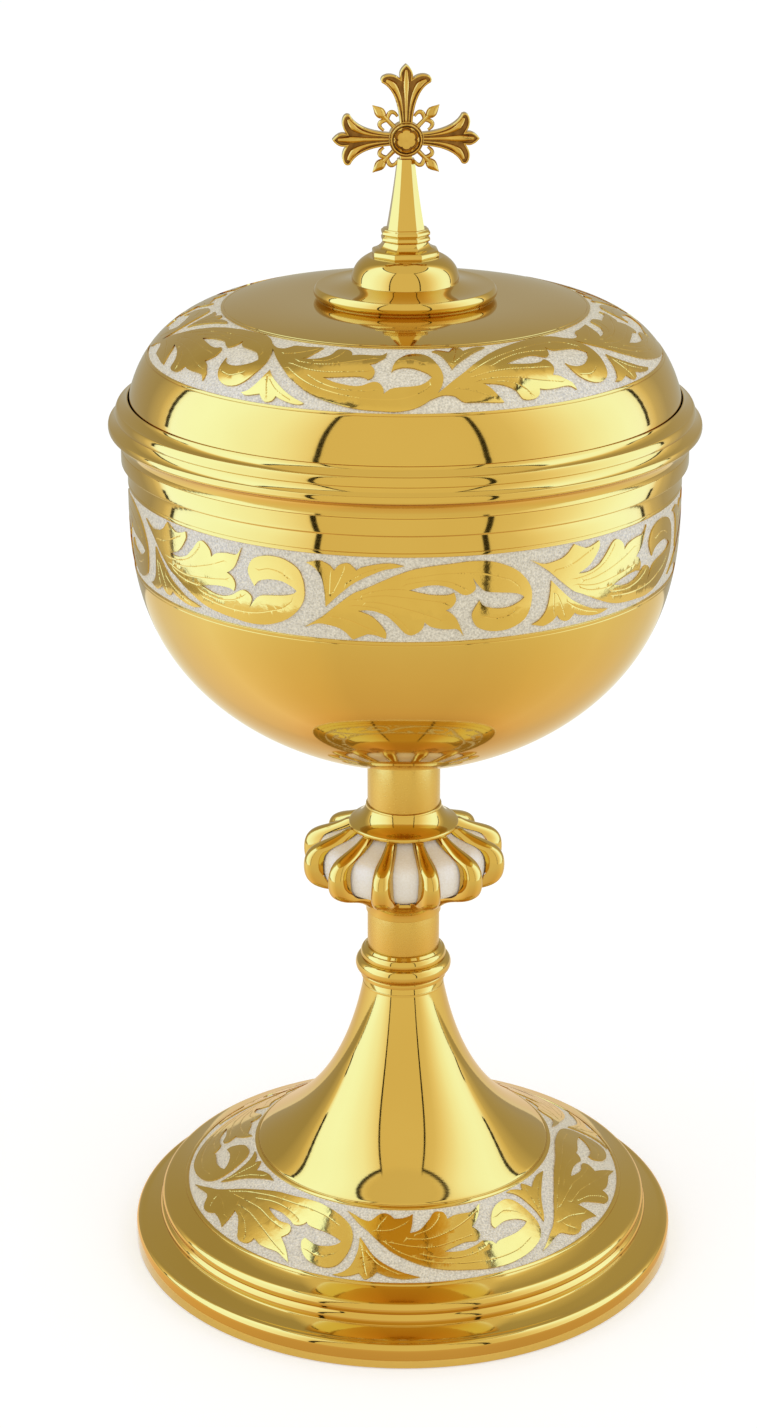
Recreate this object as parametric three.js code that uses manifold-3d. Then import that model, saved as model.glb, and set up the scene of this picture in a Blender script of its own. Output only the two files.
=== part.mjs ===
// Covered ciborium: foot, ribbed knop and cup drawn together by one tie rod, under a loose
// domed lid with a fleury cross. Millimetres, +Z up, origin at the centre of the foot's underside.
import * as THREE from 'three';
import { mergeVertices } from 'three/addons/utils/BufferGeometryUtils.js';
import Module from 'manifold-3d';

const wasm = await Module();
wasm.setup();

// Clearances and sheet thicknesses
const fitGap = 0.3;
const footWall = 1.2;
const cupWall = 1.05;
const lidWall = 1.0;
const tubeWall = 1.0;

// Spun foot, from its rim inwards and upwards
const footRadius = 64.2;
const edgeHeight = 4.0;
const edgeRound = 1.7;
const ledgeWidth = 0.4;
const outerCoveWidth = 2.3;
const outerCoveHeight = 2.5;
const stepBeadWidth = 1.75;
const stepBeadHeight = 1.75;
const stepBeadCount = 2;
const innerCoveWidth = 3.7;
const innerCoveHeight = 2.1;
const footBandWidth = 16.2;
const footBandRise = 9.5;
const borderWidth = 1.1;
const bandDepth = 0.3;
const flareHeight = 42.6;
const flareBaseSlope = 39;
const flareBaseHandle = 8.5;
const flareThroatHandle = 30.6;
const flareThroatLean = 4.9;
const throatRadius = 9.1;
const footTopPlate = 1.6;
const footRingWidth = 4.2;
const footRingHeight = 2.4;

// Stem: collar, tubes and the tie rod inside them
const collarHeight = 7.6;
const collarFootRadius = 9.9;
const collarTorusRadius = 11.15;
const collarBeadRadius = 9.95;
const collarTopRadius = 8.7;
const stemRadius = 8.35;
const lowerTubeLength = 9.0;
const upperTubeLength = 12.55;
const spigotHeight = 2.0;
const rodRadius = 3.0;
const rodNutAcrossFlats = 10.0;
const rodNutHeight = 5.0;
const rodWasherRadius = 7.0;
const rodWasherThickness = 1.6;
const rodTail = 1.8;
const socketHeight = 8.8;
const socketRoof = 1.8;

// Knop: frosted core with twelve upright ribs between two turned rings
const knopHeight = 16.1;
const ribCount = 12;
const ribRadius = 23.8;
const ribThickness = 3.6;
const ribBevel = 0.45;
const ribFootRadius = 11.5;
const ribFootDrop = 1.6;
const ribHeelLean = 0.6;
const ribTurn = -3.5;
const coreRadius = 19.7;
const coreEndRadius = 10.2;
const knopBelly = 0.8;
const knopShoulder = 0.53;
const knopShoulderRise = 0.45;
const lowerRingHeight = 5.3;
const lowerRingTopRadius = 10.5;
const upperCollarHeight = 5.3;
const upperCollarRadius = 12.6;
const upperCollarRim = 0.8;
const ringNeckRadius = 8.7;

// Cup
const cupRadius = 61.0;
const bowlDepth = 63.1;
const bowlRoundAcross = 1.68;
const bowlRoundDown = 2.65;
const cupBottomPlate = 1.6;
const cupCollarHeight = 4.3;
const lipHeight = 7.2;
const lipProud = 1.35;
const lipFlare = 3.9;
const cupBandDrop = 8.5;
const cupBandHeight = 18.5;

// Lid
const skirtReach = 6.0;
const skirtHeight = 12.5;
const lidRimHeight = 10.4;
const lidRimProud = 2.85;
const lidRimBeadHeight = 5.6;
const lidTopBeadProud = 2.3;
const lidTopBeadHeight = 8.4;
const lidInset = 0.7;
const domeHeight = 20.7;
const domeWallLean = 5.4;
const domeWallHandle = 21.9;
const domeCrownHandle = 15.8;
const lidBandInset = 4.3;
const lidBandAcross = 16.0;

// Finial on the lid
const bossFootRadius = 15.5;
const bossFootHeight = 0.3;
const flangeRadius = 19.8;
const flangeThickness = 2.3;
const bossHeight = 9.2;
const bossWaistRadius = 11.5;
const bossTopRadius = 8.2;
const pedestalPlateRadius = 7.6;
const pedestalPlateHeight = 1.1;
const pedestalBeadRadius = 5.55;
const pedestalNeckRadius = 5.05;
const pedestalHeight = 5.9;
const shaftHeight = 14.9;
const shaftFootHalf = 3.9;
const shaftTopHalf = 1.8;
const shaftChamferShare = 0.45;
const studRadius = 2.0;
const studGrip = 4.0;
const studTail = 1.4;
const finialNutAcrossFlats = 7.0;
const finialNutHeight = 3.2;
const finialWasherRadius = 6.0;
const finialWasherThickness = 1.0;

// Cross
const armLength = 15.7;
const armRootHalf = 1.3;
const lobeReach = 5.3;
const lobeHeight = 11.9;
const notchHalf = 1.3;
const notchHeight = 12.7;
const armThickness = 2.2;
const armBevel = 0.35;
const crossFootDrop = 4.2;
const sprayLength = 10.2;
const sprayReach = 2.5;
const sprayStemHalf = 0.45;
const sprayThickness = 1.5;
const medallionRadius = 3.7;
const medallionThickness = 1.0;
const medallionRimWidth = 0.8;
const medallionField = 0.6;

// Fineness of the round pieces
const wideSides = 32;
const stemSides = 20;
const studSides = 12;
const octagonSides = 8;

// Heights and radii that follow from the sizes above
const footRise = edgeHeight + edgeRound + outerCoveHeight + stepBeadCount * stepBeadHeight + innerCoveHeight;
const bandSlope = new THREE.Vector2(-footBandWidth, footBandRise).normalize();
const flareBottom = footRise + footBandRise + 2 * borderWidth * bandSlope.y;
const footTop = flareBottom + flareHeight;
const collarTop = footTop + collarHeight;
const lowerTubeTop = collarTop + lowerTubeLength;
const knopBottom = lowerTubeTop + lowerRingHeight;
const knopTop = knopBottom + knopHeight;
const upperCollarTop = knopTop + upperCollarHeight;
const cupBase = upperCollarTop + upperTubeLength;
const tubeBore = stemRadius - tubeWall;
const spigotRadius = tubeBore - fitGap;
const rodBore = rodRadius + fitGap;
const cupSeatRadius = stemRadius + fitGap;
const bowlTop = cupBase + bowlDepth * bowlDrop(cupSeatRadius / cupRadius);
const lipBottom = bowlTop + cupCollarHeight;
const lipTop = lipBottom + lipHeight;
const mouthRadius = cupRadius - cupWall;
const domeRadius = cupRadius - lidInset;
const lidTopBeadRadius = domeRadius + lidTopBeadProud;
const lidBandOuterRadius = domeRadius - lidBandInset;
const lidBandInnerRadius = lidBandOuterRadius - lidBandAcross;
const lidSkirtRadius = domeRadius - lidWall - fitGap;
const domeStart = lipTop + lidRimHeight + fitGap;
const lidTop = domeStart + domeHeight;
const studBore = studRadius + fitGap;
const bossTop = lidTop + bossHeight;
const pedestalTop = bossTop + pedestalHeight;
const crossFoot = pedestalTop + shaftHeight;
const crossCentre = crossFoot + crossFootDrop;

const gold = { color: 0xd6a63c, roughness: 0.14, metalness: 1.0 };
const frostedSilver = { color: 0xdcd8cf, roughness: 0.55, metalness: 0.9 };
const plainBrass = { color: 0xb58a45, roughness: 0.4, metalness: 1.0 };
const steel = { color: 0x9a9c9f, roughness: 0.35, metalness: 1.0 };

// share of the bowl's depth at a share of its radius
function bowlDrop(across) {
  return Math.pow(1 - Math.pow(across, bowlRoundAcross), 1 / bowlRoundDown);
}

// an outline in the plane of radius and height, drawn from one point to the next
class Outline {
  constructor(radius, height) {
    this.points = [new THREE.Vector2(radius, height)];
  }

  get end() {
    return this.points[this.points.length - 1];
  }

  to(radius, height) {
    this.points.push(new THREE.Vector2(radius, height));
    return this;
  }

  by(across, up) {
    return this.to(this.end.x + across, this.end.y + up);
  }

  // a round stretch whose middle stands out by rise to the right of the way, or in if negative
  bowTo(radius, height, rise, steps = 3) {
    const start = this.end;
    const finish = new THREE.Vector2(radius, height);
    const way = finish.clone().sub(start);
    const side = new THREE.Vector2(way.y, -way.x).normalize();
    const middle = start.clone().add(finish).multiplyScalar(0.5).addScaledVector(side, 2 * rise);
    const curve = new THREE.QuadraticBezierCurve(start, middle, finish);
    this.points.push(...curve.getPoints(steps).slice(1));
    return this;
  }

  bowBy(across, up, rise, steps = 3) {
    return this.bowTo(this.end.x + across, this.end.y + up, rise, steps);
  }

  // a fuller stretch, like a half-round bead, standing out to the right of the way
  beadTo(radius, height, rise, steps = 4) {
    const way = new THREE.Vector2(radius, height).sub(this.end);
    const handle = new THREE.Vector2(way.y, -way.x).normalize().multiplyScalar((4 / 3) * rise);
    const firstHandle = this.end.clone().add(handle);
    const secondHandle = new THREE.Vector2(radius, height).add(handle);
    return this.curveTo(firstHandle, secondHandle, radius, height, steps);
  }

  curveTo(firstHandle, secondHandle, radius, height, steps) {
    const finish = new THREE.Vector2(radius, height);
    const curve = new THREE.CubicBezierCurve(this.end, firstHandle, secondHandle, finish);
    this.points.push(...curve.getPoints(steps).slice(1));
    return this;
  }

  add(points) {
    this.points.push(...points);
    return this;
  }
}

// the same line moved sideways by a distance, to the left of its way
function offsetLine(points, distance) {
  return points.map((point, i) => {
    const before = points[Math.max(i - 1, 0)];
    const after = points[Math.min(i + 1, points.length - 1)];
    const wayIn = (i === 0 ? after : point).clone().sub(i === 0 ? point : before).normalize();
    const wayOut = i === points.length - 1 ? wayIn : after.clone().sub(point).normalize();
    const middle = wayIn.clone().add(wayOut).normalize();
    const normal = new THREE.Vector2(-middle.y, middle.x);
    return point.clone().addScaledVector(normal, distance / Math.max(normal.dot(leftOf(wayIn)), 0.5));
  });
}

// the points of a rising line up to a height, the last one on that height
function cutAtHeight(points, height) {
  const next = points.findIndex((point) => point.y >= height);
  const [before, after] = [points[next - 1], points[next]];
  const share = (height - before.y) / (after.y - before.y);
  return [...points.slice(0, next), before.clone().lerp(after, share)];
}

function leftOf(way) {
  return new THREE.Vector2(-way.y, way.x);
}

function signedArea(points) {
  return points.reduce((sum, point, i) => sum + point.cross(points[(i + 1) % points.length]), 0) / 2;
}

// a closed outline turned about +Z, with its faces pointing out
function turned(points, sides) {
  const ring = signedArea(points) > 0 ? points.slice() : points.slice().reverse();
  const geometry = new THREE.LatheGeometry([...ring, ring[0].clone()], sides);
  return geometry.rotateX(Math.PI / 2);
}

function hexagon(acrossFlats) {
  const shape = new THREE.Shape();
  const corner = acrossFlats / Math.sqrt(3);
  for (let i = 0; i < 6; i += 1) {
    const angle = (i * Math.PI) / 3;
    shape[i ? 'lineTo' : 'moveTo'](corner * Math.cos(angle), corner * Math.sin(angle));
  }
  return shape;
}

function hexNut(acrossFlats, height, bore) {
  const shape = hexagon(acrossFlats);
  shape.holes.push(new THREE.Path().absarc(0, 0, bore, 0, 2 * Math.PI));
  return new THREE.ExtrudeGeometry(shape, { depth: height, bevelEnabled: false, curveSegments: 8 });
}

function ringOutline(inner, outer, bottom, top) {
  return new Outline(inner, bottom).to(outer, bottom).to(outer, top).to(inner, top).points;
}

// the outside of the foot from the table to the flare, with the band sunk by a depth
function baseOutside(sunk, steps) {
  const line = new Outline(footRadius, 0);
  line.by(0, edgeHeight);
  line.bowBy(-edgeRound, edgeRound, 0.3 * edgeRound, steps);
  line.by(-ledgeWidth, 0);
  line.bowBy(-outerCoveWidth, outerCoveHeight, -0.2 * outerCoveHeight, steps);
  for (let i = 0; i < stepBeadCount; i += 1) {
    line.bowBy(-stepBeadWidth, stepBeadHeight, 0.3 * stepBeadWidth, steps);
  }
  line.bowBy(-innerCoveWidth, innerCoveHeight, -0.25 * innerCoveHeight, steps);
  line.by(borderWidth * bandSlope.x, borderWidth * bandSlope.y);
  if (sunk) line.by(-sunk * bandSlope.y, sunk * bandSlope.x);
  line.by(-footBandWidth, footBandRise);
  if (sunk) line.by(sunk * bandSlope.y, -sunk * bandSlope.x);
  line.by(borderWidth * bandSlope.x, borderWidth * bandSlope.y);
  return line.points;
}

// spun base with a stepped edge and the sunk band, open in the middle
function footBase() {
  const inside = offsetLine(baseOutside(0, 1), footWall);
  inside[0].y = 0;
  return turned([...baseOutside(bandDepth, 2), ...inside.reverse()], wideSides);
}

// spun trumpet that stands on the base's inner edge, closed on top by a thick plate
function footFlare() {
  const start = baseOutside(0, 1).pop();
  const line = new Outline(start.x, start.y);
  const slope = THREE.MathUtils.degToRad(180 - flareBaseSlope);
  const way = new THREE.Vector2(Math.cos(slope), Math.sin(slope));
  const baseHandle = start.clone().addScaledVector(way, flareBaseHandle);
  const throatHandle = new THREE.Vector2(throatRadius + flareThroatLean, footTop - flareThroatHandle);
  line.curveTo(baseHandle, throatHandle, throatRadius, footTop, 7);
  const inside = offsetLine(line.points, footWall);
  inside[0] = offsetLine(baseOutside(0, 1), footWall).pop();
  const plateBottom = footTop - footTopPlate;
  const bore = [new THREE.Vector2(rodBore, footTop), new THREE.Vector2(rodBore, plateBottom)];
  return turned([...line.points, ...bore, ...cutAtHeight(inside, plateBottom).reverse()], wideSides);
}

function footRing() {
  const outer = footRadius - footWall - fitGap;
  return turned(ringOutline(outer - footRingWidth, outer, 0, footRingHeight), wideSides);
}

// double moulding between foot and stem, with a spigot that centres the lower tube
function footCollar() {
  const line = new Outline(rodBore, footTop);
  line.to(collarFootRadius, footTop);
  line.by(0, 0.12 * collarHeight);
  line.by(-0.25, 0.04 * collarHeight);
  const neck = collarFootRadius - 0.25;
  line.beadTo(neck, footTop + 0.65 * collarHeight, collarTorusRadius - neck, 4);
  line.beadTo(collarTopRadius + 0.5, footTop + 0.92 * collarHeight, collarBeadRadius - neck + 0.2, 3);
  line.to(collarTopRadius, collarTop);
  line.to(spigotRadius, collarTop);
  line.by(0, spigotHeight);
  line.to(rodBore, line.end.y);
  return turned(line.points, stemSides);
}

function stemTube(bottom, length) {
  return turned(ringOutline(tubeBore, stemRadius, bottom, bottom + length), stemSides);
}

// turned ring under the knop; its spigot hangs into the lower tube
function knopLowerRing() {
  const line = new Outline(rodBore, lowerTubeTop - spigotHeight);
  line.to(spigotRadius, line.end.y);
  line.by(0, spigotHeight);
  line.to(ringNeckRadius, lowerTubeTop);
  line.by(0, 0.15 * lowerRingHeight);
  line.bowTo(lowerRingTopRadius, knopBottom - 0.15 * lowerRingHeight, -0.35, 3);
  line.to(lowerRingTopRadius, knopBottom);
  line.to(rodBore, knopBottom);
  return turned(line.points, stemSides);
}

function knopUpperCollar() {
  const line = new Outline(rodBore, knopTop);
  line.to(upperCollarRadius, knopTop);
  line.by(0, upperCollarRim);
  line.by(-0.4, 0.3);
  line.bowTo(ringNeckRadius, upperCollarTop - 0.15 * upperCollarHeight, -0.45, 3);
  line.to(ringNeckRadius, upperCollarTop);
  line.to(spigotRadius, upperCollarTop);
  line.by(0, spigotHeight);
  line.to(rodBore, line.end.y);
  return turned(line.points, stemSides);
}

// half of the knop's belly, from its waist at height 0 to its end
function bellyPoints(radius, endRadius, endHeight, steps) {
  const waist = new THREE.Vector2(radius, 0);
  const side = new THREE.Vector2(radius, knopBelly * endHeight);
  const across = radius - knopShoulder * (radius - endRadius);
  const shoulder = new THREE.Vector2(across, knopShoulderRise * endHeight);
  const end = new THREE.Vector2(endRadius, endHeight);
  return new THREE.CubicBezierCurve(waist, side, shoulder, end).getPoints(steps);
}

// a lower half hung under an upper half, as one rising line
function wholeBelly(lower, upper) {
  const hung = lower.map((point) => new THREE.Vector2(point.x, -point.y));
  return [...hung.reverse(), ...upper.slice(1)];
}

function knopCore() {
  const half = knopHeight / 2;
  const belly = bellyPoints(coreRadius, coreEndRadius, half, 5);
  const line = new Outline(rodBore, -half).add(wholeBelly(belly, belly)).to(rodBore, half);
  return turned(line.points, stemSides).translate(0, 0, knopBottom + half);
}

// one upright rib, a slice whose inner edge follows the core at the fitting gap
function knopRib() {
  const half = knopHeight / 2;
  const footHeight = half + ribFootDrop;
  const seatRadius = lowerRingTopRadius + 1.2 * fitGap;
  const crest = bellyPoints(ribRadius, ribFootRadius, footHeight, 6);
  const outer = wholeBelly(crest, cutAtHeight(crest, half));
  const seat = bellyPoints(coreRadius + fitGap, seatRadius, half + fitGap, 4);
  const inner = wholeBelly(seat, bellyPoints(coreRadius + fitGap, coreEndRadius + fitGap, half, 4));
  const heel = new THREE.Vector2(seatRadius - ribHeelLean, -footHeight);
  const shape = new THREE.Shape([...outer, ...inner.reverse(), heel]);
  return plate(shape, ribThickness, ribBevel).rotateX(Math.PI / 2);
}

function tieRod(bottom, top) {
  return turned([...ringOutline(0, rodRadius, bottom, top)], studSides);
}

function cupSocket() {
  const bottom = cupBase - socketHeight;
  const line = new Outline(rodBore, bottom);
  line.to(spigotRadius, bottom).to(spigotRadius, cupBase).to(0, cupBase);
  line.to(0, cupBase - socketRoof).to(rodBore, cupBase - socketRoof);
  return turned(line.points, stemSides);
}

// radius of a bowl surface of this radius and depth, at a height below its top
function bowlRadiusAt(height, radius, depth) {
  const drop = Math.min(Math.max((bowlTop - height) / depth, 0), 1);
  return radius * Math.pow(1 - Math.pow(drop, bowlRoundDown), 1 / bowlRoundAcross);
}

// points of a bowl surface, crowded towards its bottom as the curve tightens
function bowlPoints(radius, depth, fromRadius, toHeight, steps) {
  const start = Math.asin(Math.pow(fromRadius / radius, bowlRoundAcross / 2));
  const toDrop = Math.max((bowlTop - toHeight) / depth, 0);
  const finish = Math.acos(Math.pow(toDrop, bowlRoundDown / 2));
  return Array.from({ length: steps + 1 }, (_, i) => {
    const angle = start + ((finish - start) * i) / steps;
    const across = radius * Math.pow(Math.sin(angle), 2 / bowlRoundAcross);
    return new THREE.Vector2(across, bowlTop - depth * Math.pow(Math.cos(angle), 2 / bowlRoundDown));
  });
}

function cupBowl() {
  const bandTop = lipTop - cupBandDrop;
  const bandBottom = bandTop - cupBandHeight;
  const line = new Outline(0, cupBase);
  line.add(bowlPoints(cupRadius, bowlDepth, cupSeatRadius, bandBottom, 7));
  const bandSteps = 3;
  for (let i = 0; i <= bandSteps; i += 1) {
    const height = bandBottom + ((bandTop - bandBottom) * i) / bandSteps;
    line.to(bowlRadiusAt(height, cupRadius, bowlDepth) - bandDepth, height);
  }
  line.to(cupRadius, bandTop);
  line.to(cupRadius, lipBottom);
  line.bowBy(lipProud, lipFlare, -0.1, 3);
  line.to(cupRadius + lipProud, lipTop);
  line.to(mouthRadius, lipTop);
  const innerDepth = bowlDepth - cupWall;
  const floor = cupBase + cupBottomPlate;
  const floorRadius = bowlRadiusAt(floor, mouthRadius, innerDepth);
  const inside = bowlPoints(mouthRadius, innerDepth, floorRadius, bowlTop, 7);
  line.add(inside.reverse());
  line.to(0, floor);
  return turned(line.points, wideSides);
}

// the lid's dome from its wall to the flat on its crown
function domePoints(steps) {
  const start = new THREE.Vector2(domeRadius, domeStart);
  const wallHandle = new THREE.Vector2(domeRadius - domeWallLean, domeStart + domeWallHandle);
  const crownHandle = new THREE.Vector2(bossFootRadius + domeCrownHandle, lidTop);
  const finish = new THREE.Vector2(bossFootRadius, lidTop);
  return new THREE.CubicBezierCurve(start, wallHandle, crownHandle, finish).getPoints(steps);
}

// height of the dome's outside at a radius
function domeHeightAt(radius) {
  const points = domePoints(60);
  const i = points.findIndex((point) => point.x < radius);
  const share = (points[i - 1].x - radius) / (points[i - 1].x - points[i].x);
  return points[i - 1].y + share * (points[i].y - points[i - 1].y);
}

// the dome's outside with the band sunk into it
function domeOutside() {
  const edgeOuter = new THREE.Vector2(lidBandOuterRadius, domeHeightAt(lidBandOuterRadius));
  const edgeInner = new THREE.Vector2(lidBandInnerRadius, domeHeightAt(lidBandInnerRadius));
  const points = domePoints(10);
  const below = points.filter((point) => point.y < edgeOuter.y - fitGap);
  const above = points.filter((point) => point.x < edgeInner.x - fitGap);
  const between = points.filter((point) => point.x < edgeOuter.x - fitGap && point.x > edgeInner.x + fitGap);
  const sunk = offsetLine([edgeOuter, ...between, edgeInner], bandDepth);
  return [...below, edgeOuter, ...sunk, edgeInner, ...above];
}

// spun lid, straight where it stands on the lip of the cup
function lidDome() {
  const outside = new Outline(domeRadius, lipTop).add(domeOutside()).to(studBore, lidTop);
  const inner = new Outline(domeRadius - lidWall, lipTop).add(offsetLine(domePoints(7), lidWall));
  inner.to(studBore, lidTop - lidWall);
  return turned([...outside.points, ...inner.points.reverse()], wideSides);
}

// ring inside the lid that drops into the cup's mouth
function lidSkirt() {
  const bottom = lipTop - skirtReach;
  return turned(ringOutline(lidSkirtRadius - lidWall, lidSkirtRadius, bottom, bottom + skirtHeight), wideSides);
}

// turned moulding round the lid's edge; its flat underside rests on the lip of the cup
function lidRim() {
  const bore = domeRadius + fitGap;
  const lipRadius = cupRadius + lipProud;
  const widest = lipRadius + lidRimProud;
  const line = new Outline(bore, lipTop).to(lipRadius, lipTop);
  line.bowTo(widest - 0.35, lipTop + 0.8 * lidRimBeadHeight, -0.3, 2);
  line.beadTo(lidTopBeadRadius + 0.6, lipTop + lidRimBeadHeight + 1.6, 0.75, 3);
  line.to(lidTopBeadRadius - 0.1, lipTop + lidTopBeadHeight - 0.7);
  line.beadTo(lidTopBeadRadius - 1.1, lipTop + lidTopBeadHeight + 0.9, 0.3, 3);
  line.to(bore + 0.25, lipTop + lidRimHeight);
  line.to(bore, lipTop + lidRimHeight);
  return turned(line.points, wideSides);
}

function finialBoss() {
  const line = new Outline(studBore, lidTop).to(bossFootRadius, lidTop);
  line.by(0, bossFootHeight);
  line.to(flangeRadius - 0.8, lidTop + bossFootHeight + 0.2);
  line.bowBy(0.3, flangeThickness, 0.75, 3);
  line.bowTo(bossWaistRadius + 0.2, line.end.y + 0.9, -0.35, 3);
  line.bowTo(bossTopRadius, bossTop, 1.0, 4);
  line.to(studBore, bossTop);
  return turned(line.points, stemSides);
}

// octagonal plinth under the cross, with two beads and a blind hole for the stud
function crossPedestal() {
  const beadStep = 1.3;
  const line = new Outline(studBore, bossTop).to(pedestalPlateRadius, bossTop);
  line.by(0, pedestalPlateHeight);
  line.by(-0.35, 0.3);
  line.bowTo(pedestalNeckRadius, pedestalTop - 2.1 * beadStep, -0.35, 3);
  for (let i = 0; i < 2; i += 1) {
    line.to(pedestalBeadRadius, line.end.y + 0.3 * beadStep);
    line.by(0, 0.4 * beadStep);
    line.to(pedestalNeckRadius, line.end.y + 0.3 * beadStep);
  }
  line.to(pedestalNeckRadius, pedestalTop);
  line.to(0, pedestalTop).to(0, bossTop + studGrip + fitGap);
  line.to(studBore, bossTop + studGrip + fitGap);
  return turned(line.points, octagonSides).rotateZ(Math.PI / octagonSides);
}

// corners of a square with cut corners
function cutSquare(half, height) {
  const flat = half * (1 - 2 * shaftChamferShare * 0.52);
  const corners = [];
  for (let i = 0; i < 4; i += 1) {
    const turn = (i * Math.PI) / 2;
    for (const side of [-flat, flat]) {
      corners.push(new THREE.Vector3(half, side, height).applyAxisAngle(new THREE.Vector3(0, 0, 1), turn));
    }
  }
  return corners;
}

// a closed body through rings of corners, each ring as long as the next
function lofted(rings) {
  const count = rings[0].length;
  const positions = [];
  const face = (a, b, c) => positions.push(...a.toArray(), ...b.toArray(), ...c.toArray());
  for (let k = 0; k < rings.length - 1; k += 1) {
    for (let i = 0; i < count; i += 1) {
      const j = (i + 1) % count;
      face(rings[k][i], rings[k][j], rings[k + 1][j]);
      face(rings[k][i], rings[k + 1][j], rings[k + 1][i]);
    }
  }
  const last = rings[rings.length - 1];
  for (let i = 1; i < count - 1; i += 1) {
    face(rings[0][0], rings[0][i + 1], rings[0][i]);
    face(last[0], last[i], last[i + 1]);
  }
  const geometry = new THREE.BufferGeometry();
  geometry.setAttribute('position', new THREE.Float32BufferAttribute(positions, 3));
  return geometry;
}

// tapered eight-sided shaft, a little waisted
function crossShaft() {
  const waist = 0.45;
  const waistHalf = shaftFootHalf + (shaftTopHalf - shaftFootHalf) * (waist + 0.08);
  return lofted([
    cutSquare(shaftFootHalf, pedestalTop),
    cutSquare(waistHalf, pedestalTop + waist * shaftHeight),
    cutSquare(shaftTopHalf, crossFoot),
  ]);
}

// outline of a shape given by its right half, from its root up to its tip
function mirroredShape(rightHalf) {
  const points = rightHalf.getPoints(4);
  const left = points.map((point) => new THREE.Vector2(-point.x, point.y)).reverse();
  return new THREE.Shape([...points, ...left.slice(1)]);
}

// one arm of the cross, pointing up, ending in three lobes
function armShape() {
  const half = new THREE.Path();
  half.moveTo(armRootHalf, 0);
  half.lineTo(armRootHalf, 2.6);
  half.bezierCurveTo(armRootHalf + 0.1, 6.2, 0.45 * lobeReach, lobeHeight - 1.3, lobeReach - 0.1, lobeHeight);
  half.quadraticCurveTo(lobeReach + 0.35, lobeHeight + 0.7, lobeReach - 0.3, lobeHeight + 1.3);
  const hook = notchHeight + 1.2;
  half.bezierCurveTo(0.75 * lobeReach, hook, 0.45 * lobeReach, hook - 0.2, notchHalf, notchHeight);
  half.bezierCurveTo(notchHalf + 0.45, notchHeight + 1.2, 0.75 * notchHalf, armLength - 0.7, 0, armLength);
  return mirroredShape(half);
}

// one small spray between two arms: a stem, two hooked leaves and a point
function sprayShape() {
  const leaf = sprayLength - 3.6;
  const half = new THREE.Path();
  half.moveTo(sprayStemHalf, 0);
  half.lineTo(sprayStemHalf, leaf - 0.8);
  half.quadraticCurveTo(0.8 * sprayReach, leaf - 0.3, 0.8 * sprayReach, leaf - 1.4);
  half.quadraticCurveTo(1.2 * sprayReach, leaf + 0.4, 0.5 * sprayReach, leaf + 0.7);
  half.lineTo(sprayStemHalf + 0.1, leaf + 0.4);
  half.bezierCurveTo(sprayStemHalf + 0.6, leaf + 1.4, sprayStemHalf + 0.2, sprayLength - 1.0, 0, sprayLength);
  return mirroredShape(half);
}

function plate(shape, thickness, bevel) {
  const geometry = new THREE.ExtrudeGeometry(shape, {
    depth: thickness - 2 * bevel,
    bevelEnabled: bevel > 0,
    bevelSegments: 1,
    bevelThickness: bevel,
    bevelSize: bevel,
    bevelOffset: -bevel,
    curveSegments: 4,
  });
  return geometry.translate(0, 0, bevel - thickness / 2);
}

function solidOf(geometry) {
  const bare = geometry.clone();
  bare.deleteAttribute('normal');
  bare.deleteAttribute('uv');
  const merged = mergeVertices(bare.index ? bare.toNonIndexed() : bare, 1e-4);
  const mesh = new wasm.Mesh({
    numProp: 3,
    vertProperties: new Float32Array(merged.attributes.position.array),
    triVerts: new Uint32Array(merged.index.array),
  });
  mesh.merge();
  return new wasm.Manifold(mesh);
}

function geometryOf(solid) {
  const mesh = solid.getMesh();
  const geometry = new THREE.BufferGeometry();
  geometry.setAttribute('position', new THREE.BufferAttribute(new Float32Array(mesh.vertProperties), 3));
  geometry.setIndex(new THREE.BufferAttribute(new Uint32Array(mesh.triVerts), 1));
  return geometry;
}

// three lobed arms, four sprays, a round boss and a foot that stands on the shaft
function crossHead() {
  const hub = new THREE.Shape().absarc(0, 0, medallionRadius, 0, 2 * Math.PI);
  let solid = solidOf(plate(hub, armThickness, 0));
  for (const turn of [-Math.PI / 2, 0, Math.PI / 2]) {
    solid = solid.add(solidOf(plate(armShape(), armThickness, armBevel).rotateZ(turn)));
  }
  for (let i = 0; i < 4; i += 1) {
    const spray = plate(sprayShape(), sprayThickness, 0).rotateZ(Math.PI / 4 + (i * Math.PI) / 2);
    solid = solid.add(solidOf(spray));
  }
  const foot = new THREE.BoxGeometry(2 * armRootHalf, crossFootDrop, armThickness);
  solid = solid.add(solidOf(foot.translate(0, -crossFootDrop / 2, 0)));
  return geometryOf(solid).rotateX(Math.PI / 2).translate(0, 0, crossCentre);
}

// round medallion with a raised rim, lying against the face of the cross
function medallion(facing) {
  const line = new Outline(0, 0).to(medallionRadius, 0).to(medallionRadius, 0.7 * medallionThickness);
  line.to(medallionRadius - 0.3, medallionThickness);
  line.to(medallionRadius - medallionRimWidth, medallionThickness);
  line.to(medallionRadius - medallionRimWidth - 0.2, medallionField).to(0, medallionField);
  const geometry = turned(line.points, stemSides).translate(0, 0, armThickness / 2);
  return geometry.rotateX(facing * (Math.PI / 2)).translate(0, 0, crossCentre);
}

function addPiece(parent, name, geometry, look) {
  const mesh = new THREE.Mesh(geometry, new THREE.MeshStandardMaterial(look));
  mesh.name = name;
  parent.add(mesh);
  return mesh;
}

function buildFoot() {
  const foot = new THREE.Group();
  addPiece(foot, 'foot_base', footBase(), gold);
  addPiece(foot, 'foot_flare', footFlare(), gold);
  addPiece(foot, 'foot_ring', footRing(), plainBrass);
  return foot;
}

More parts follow.
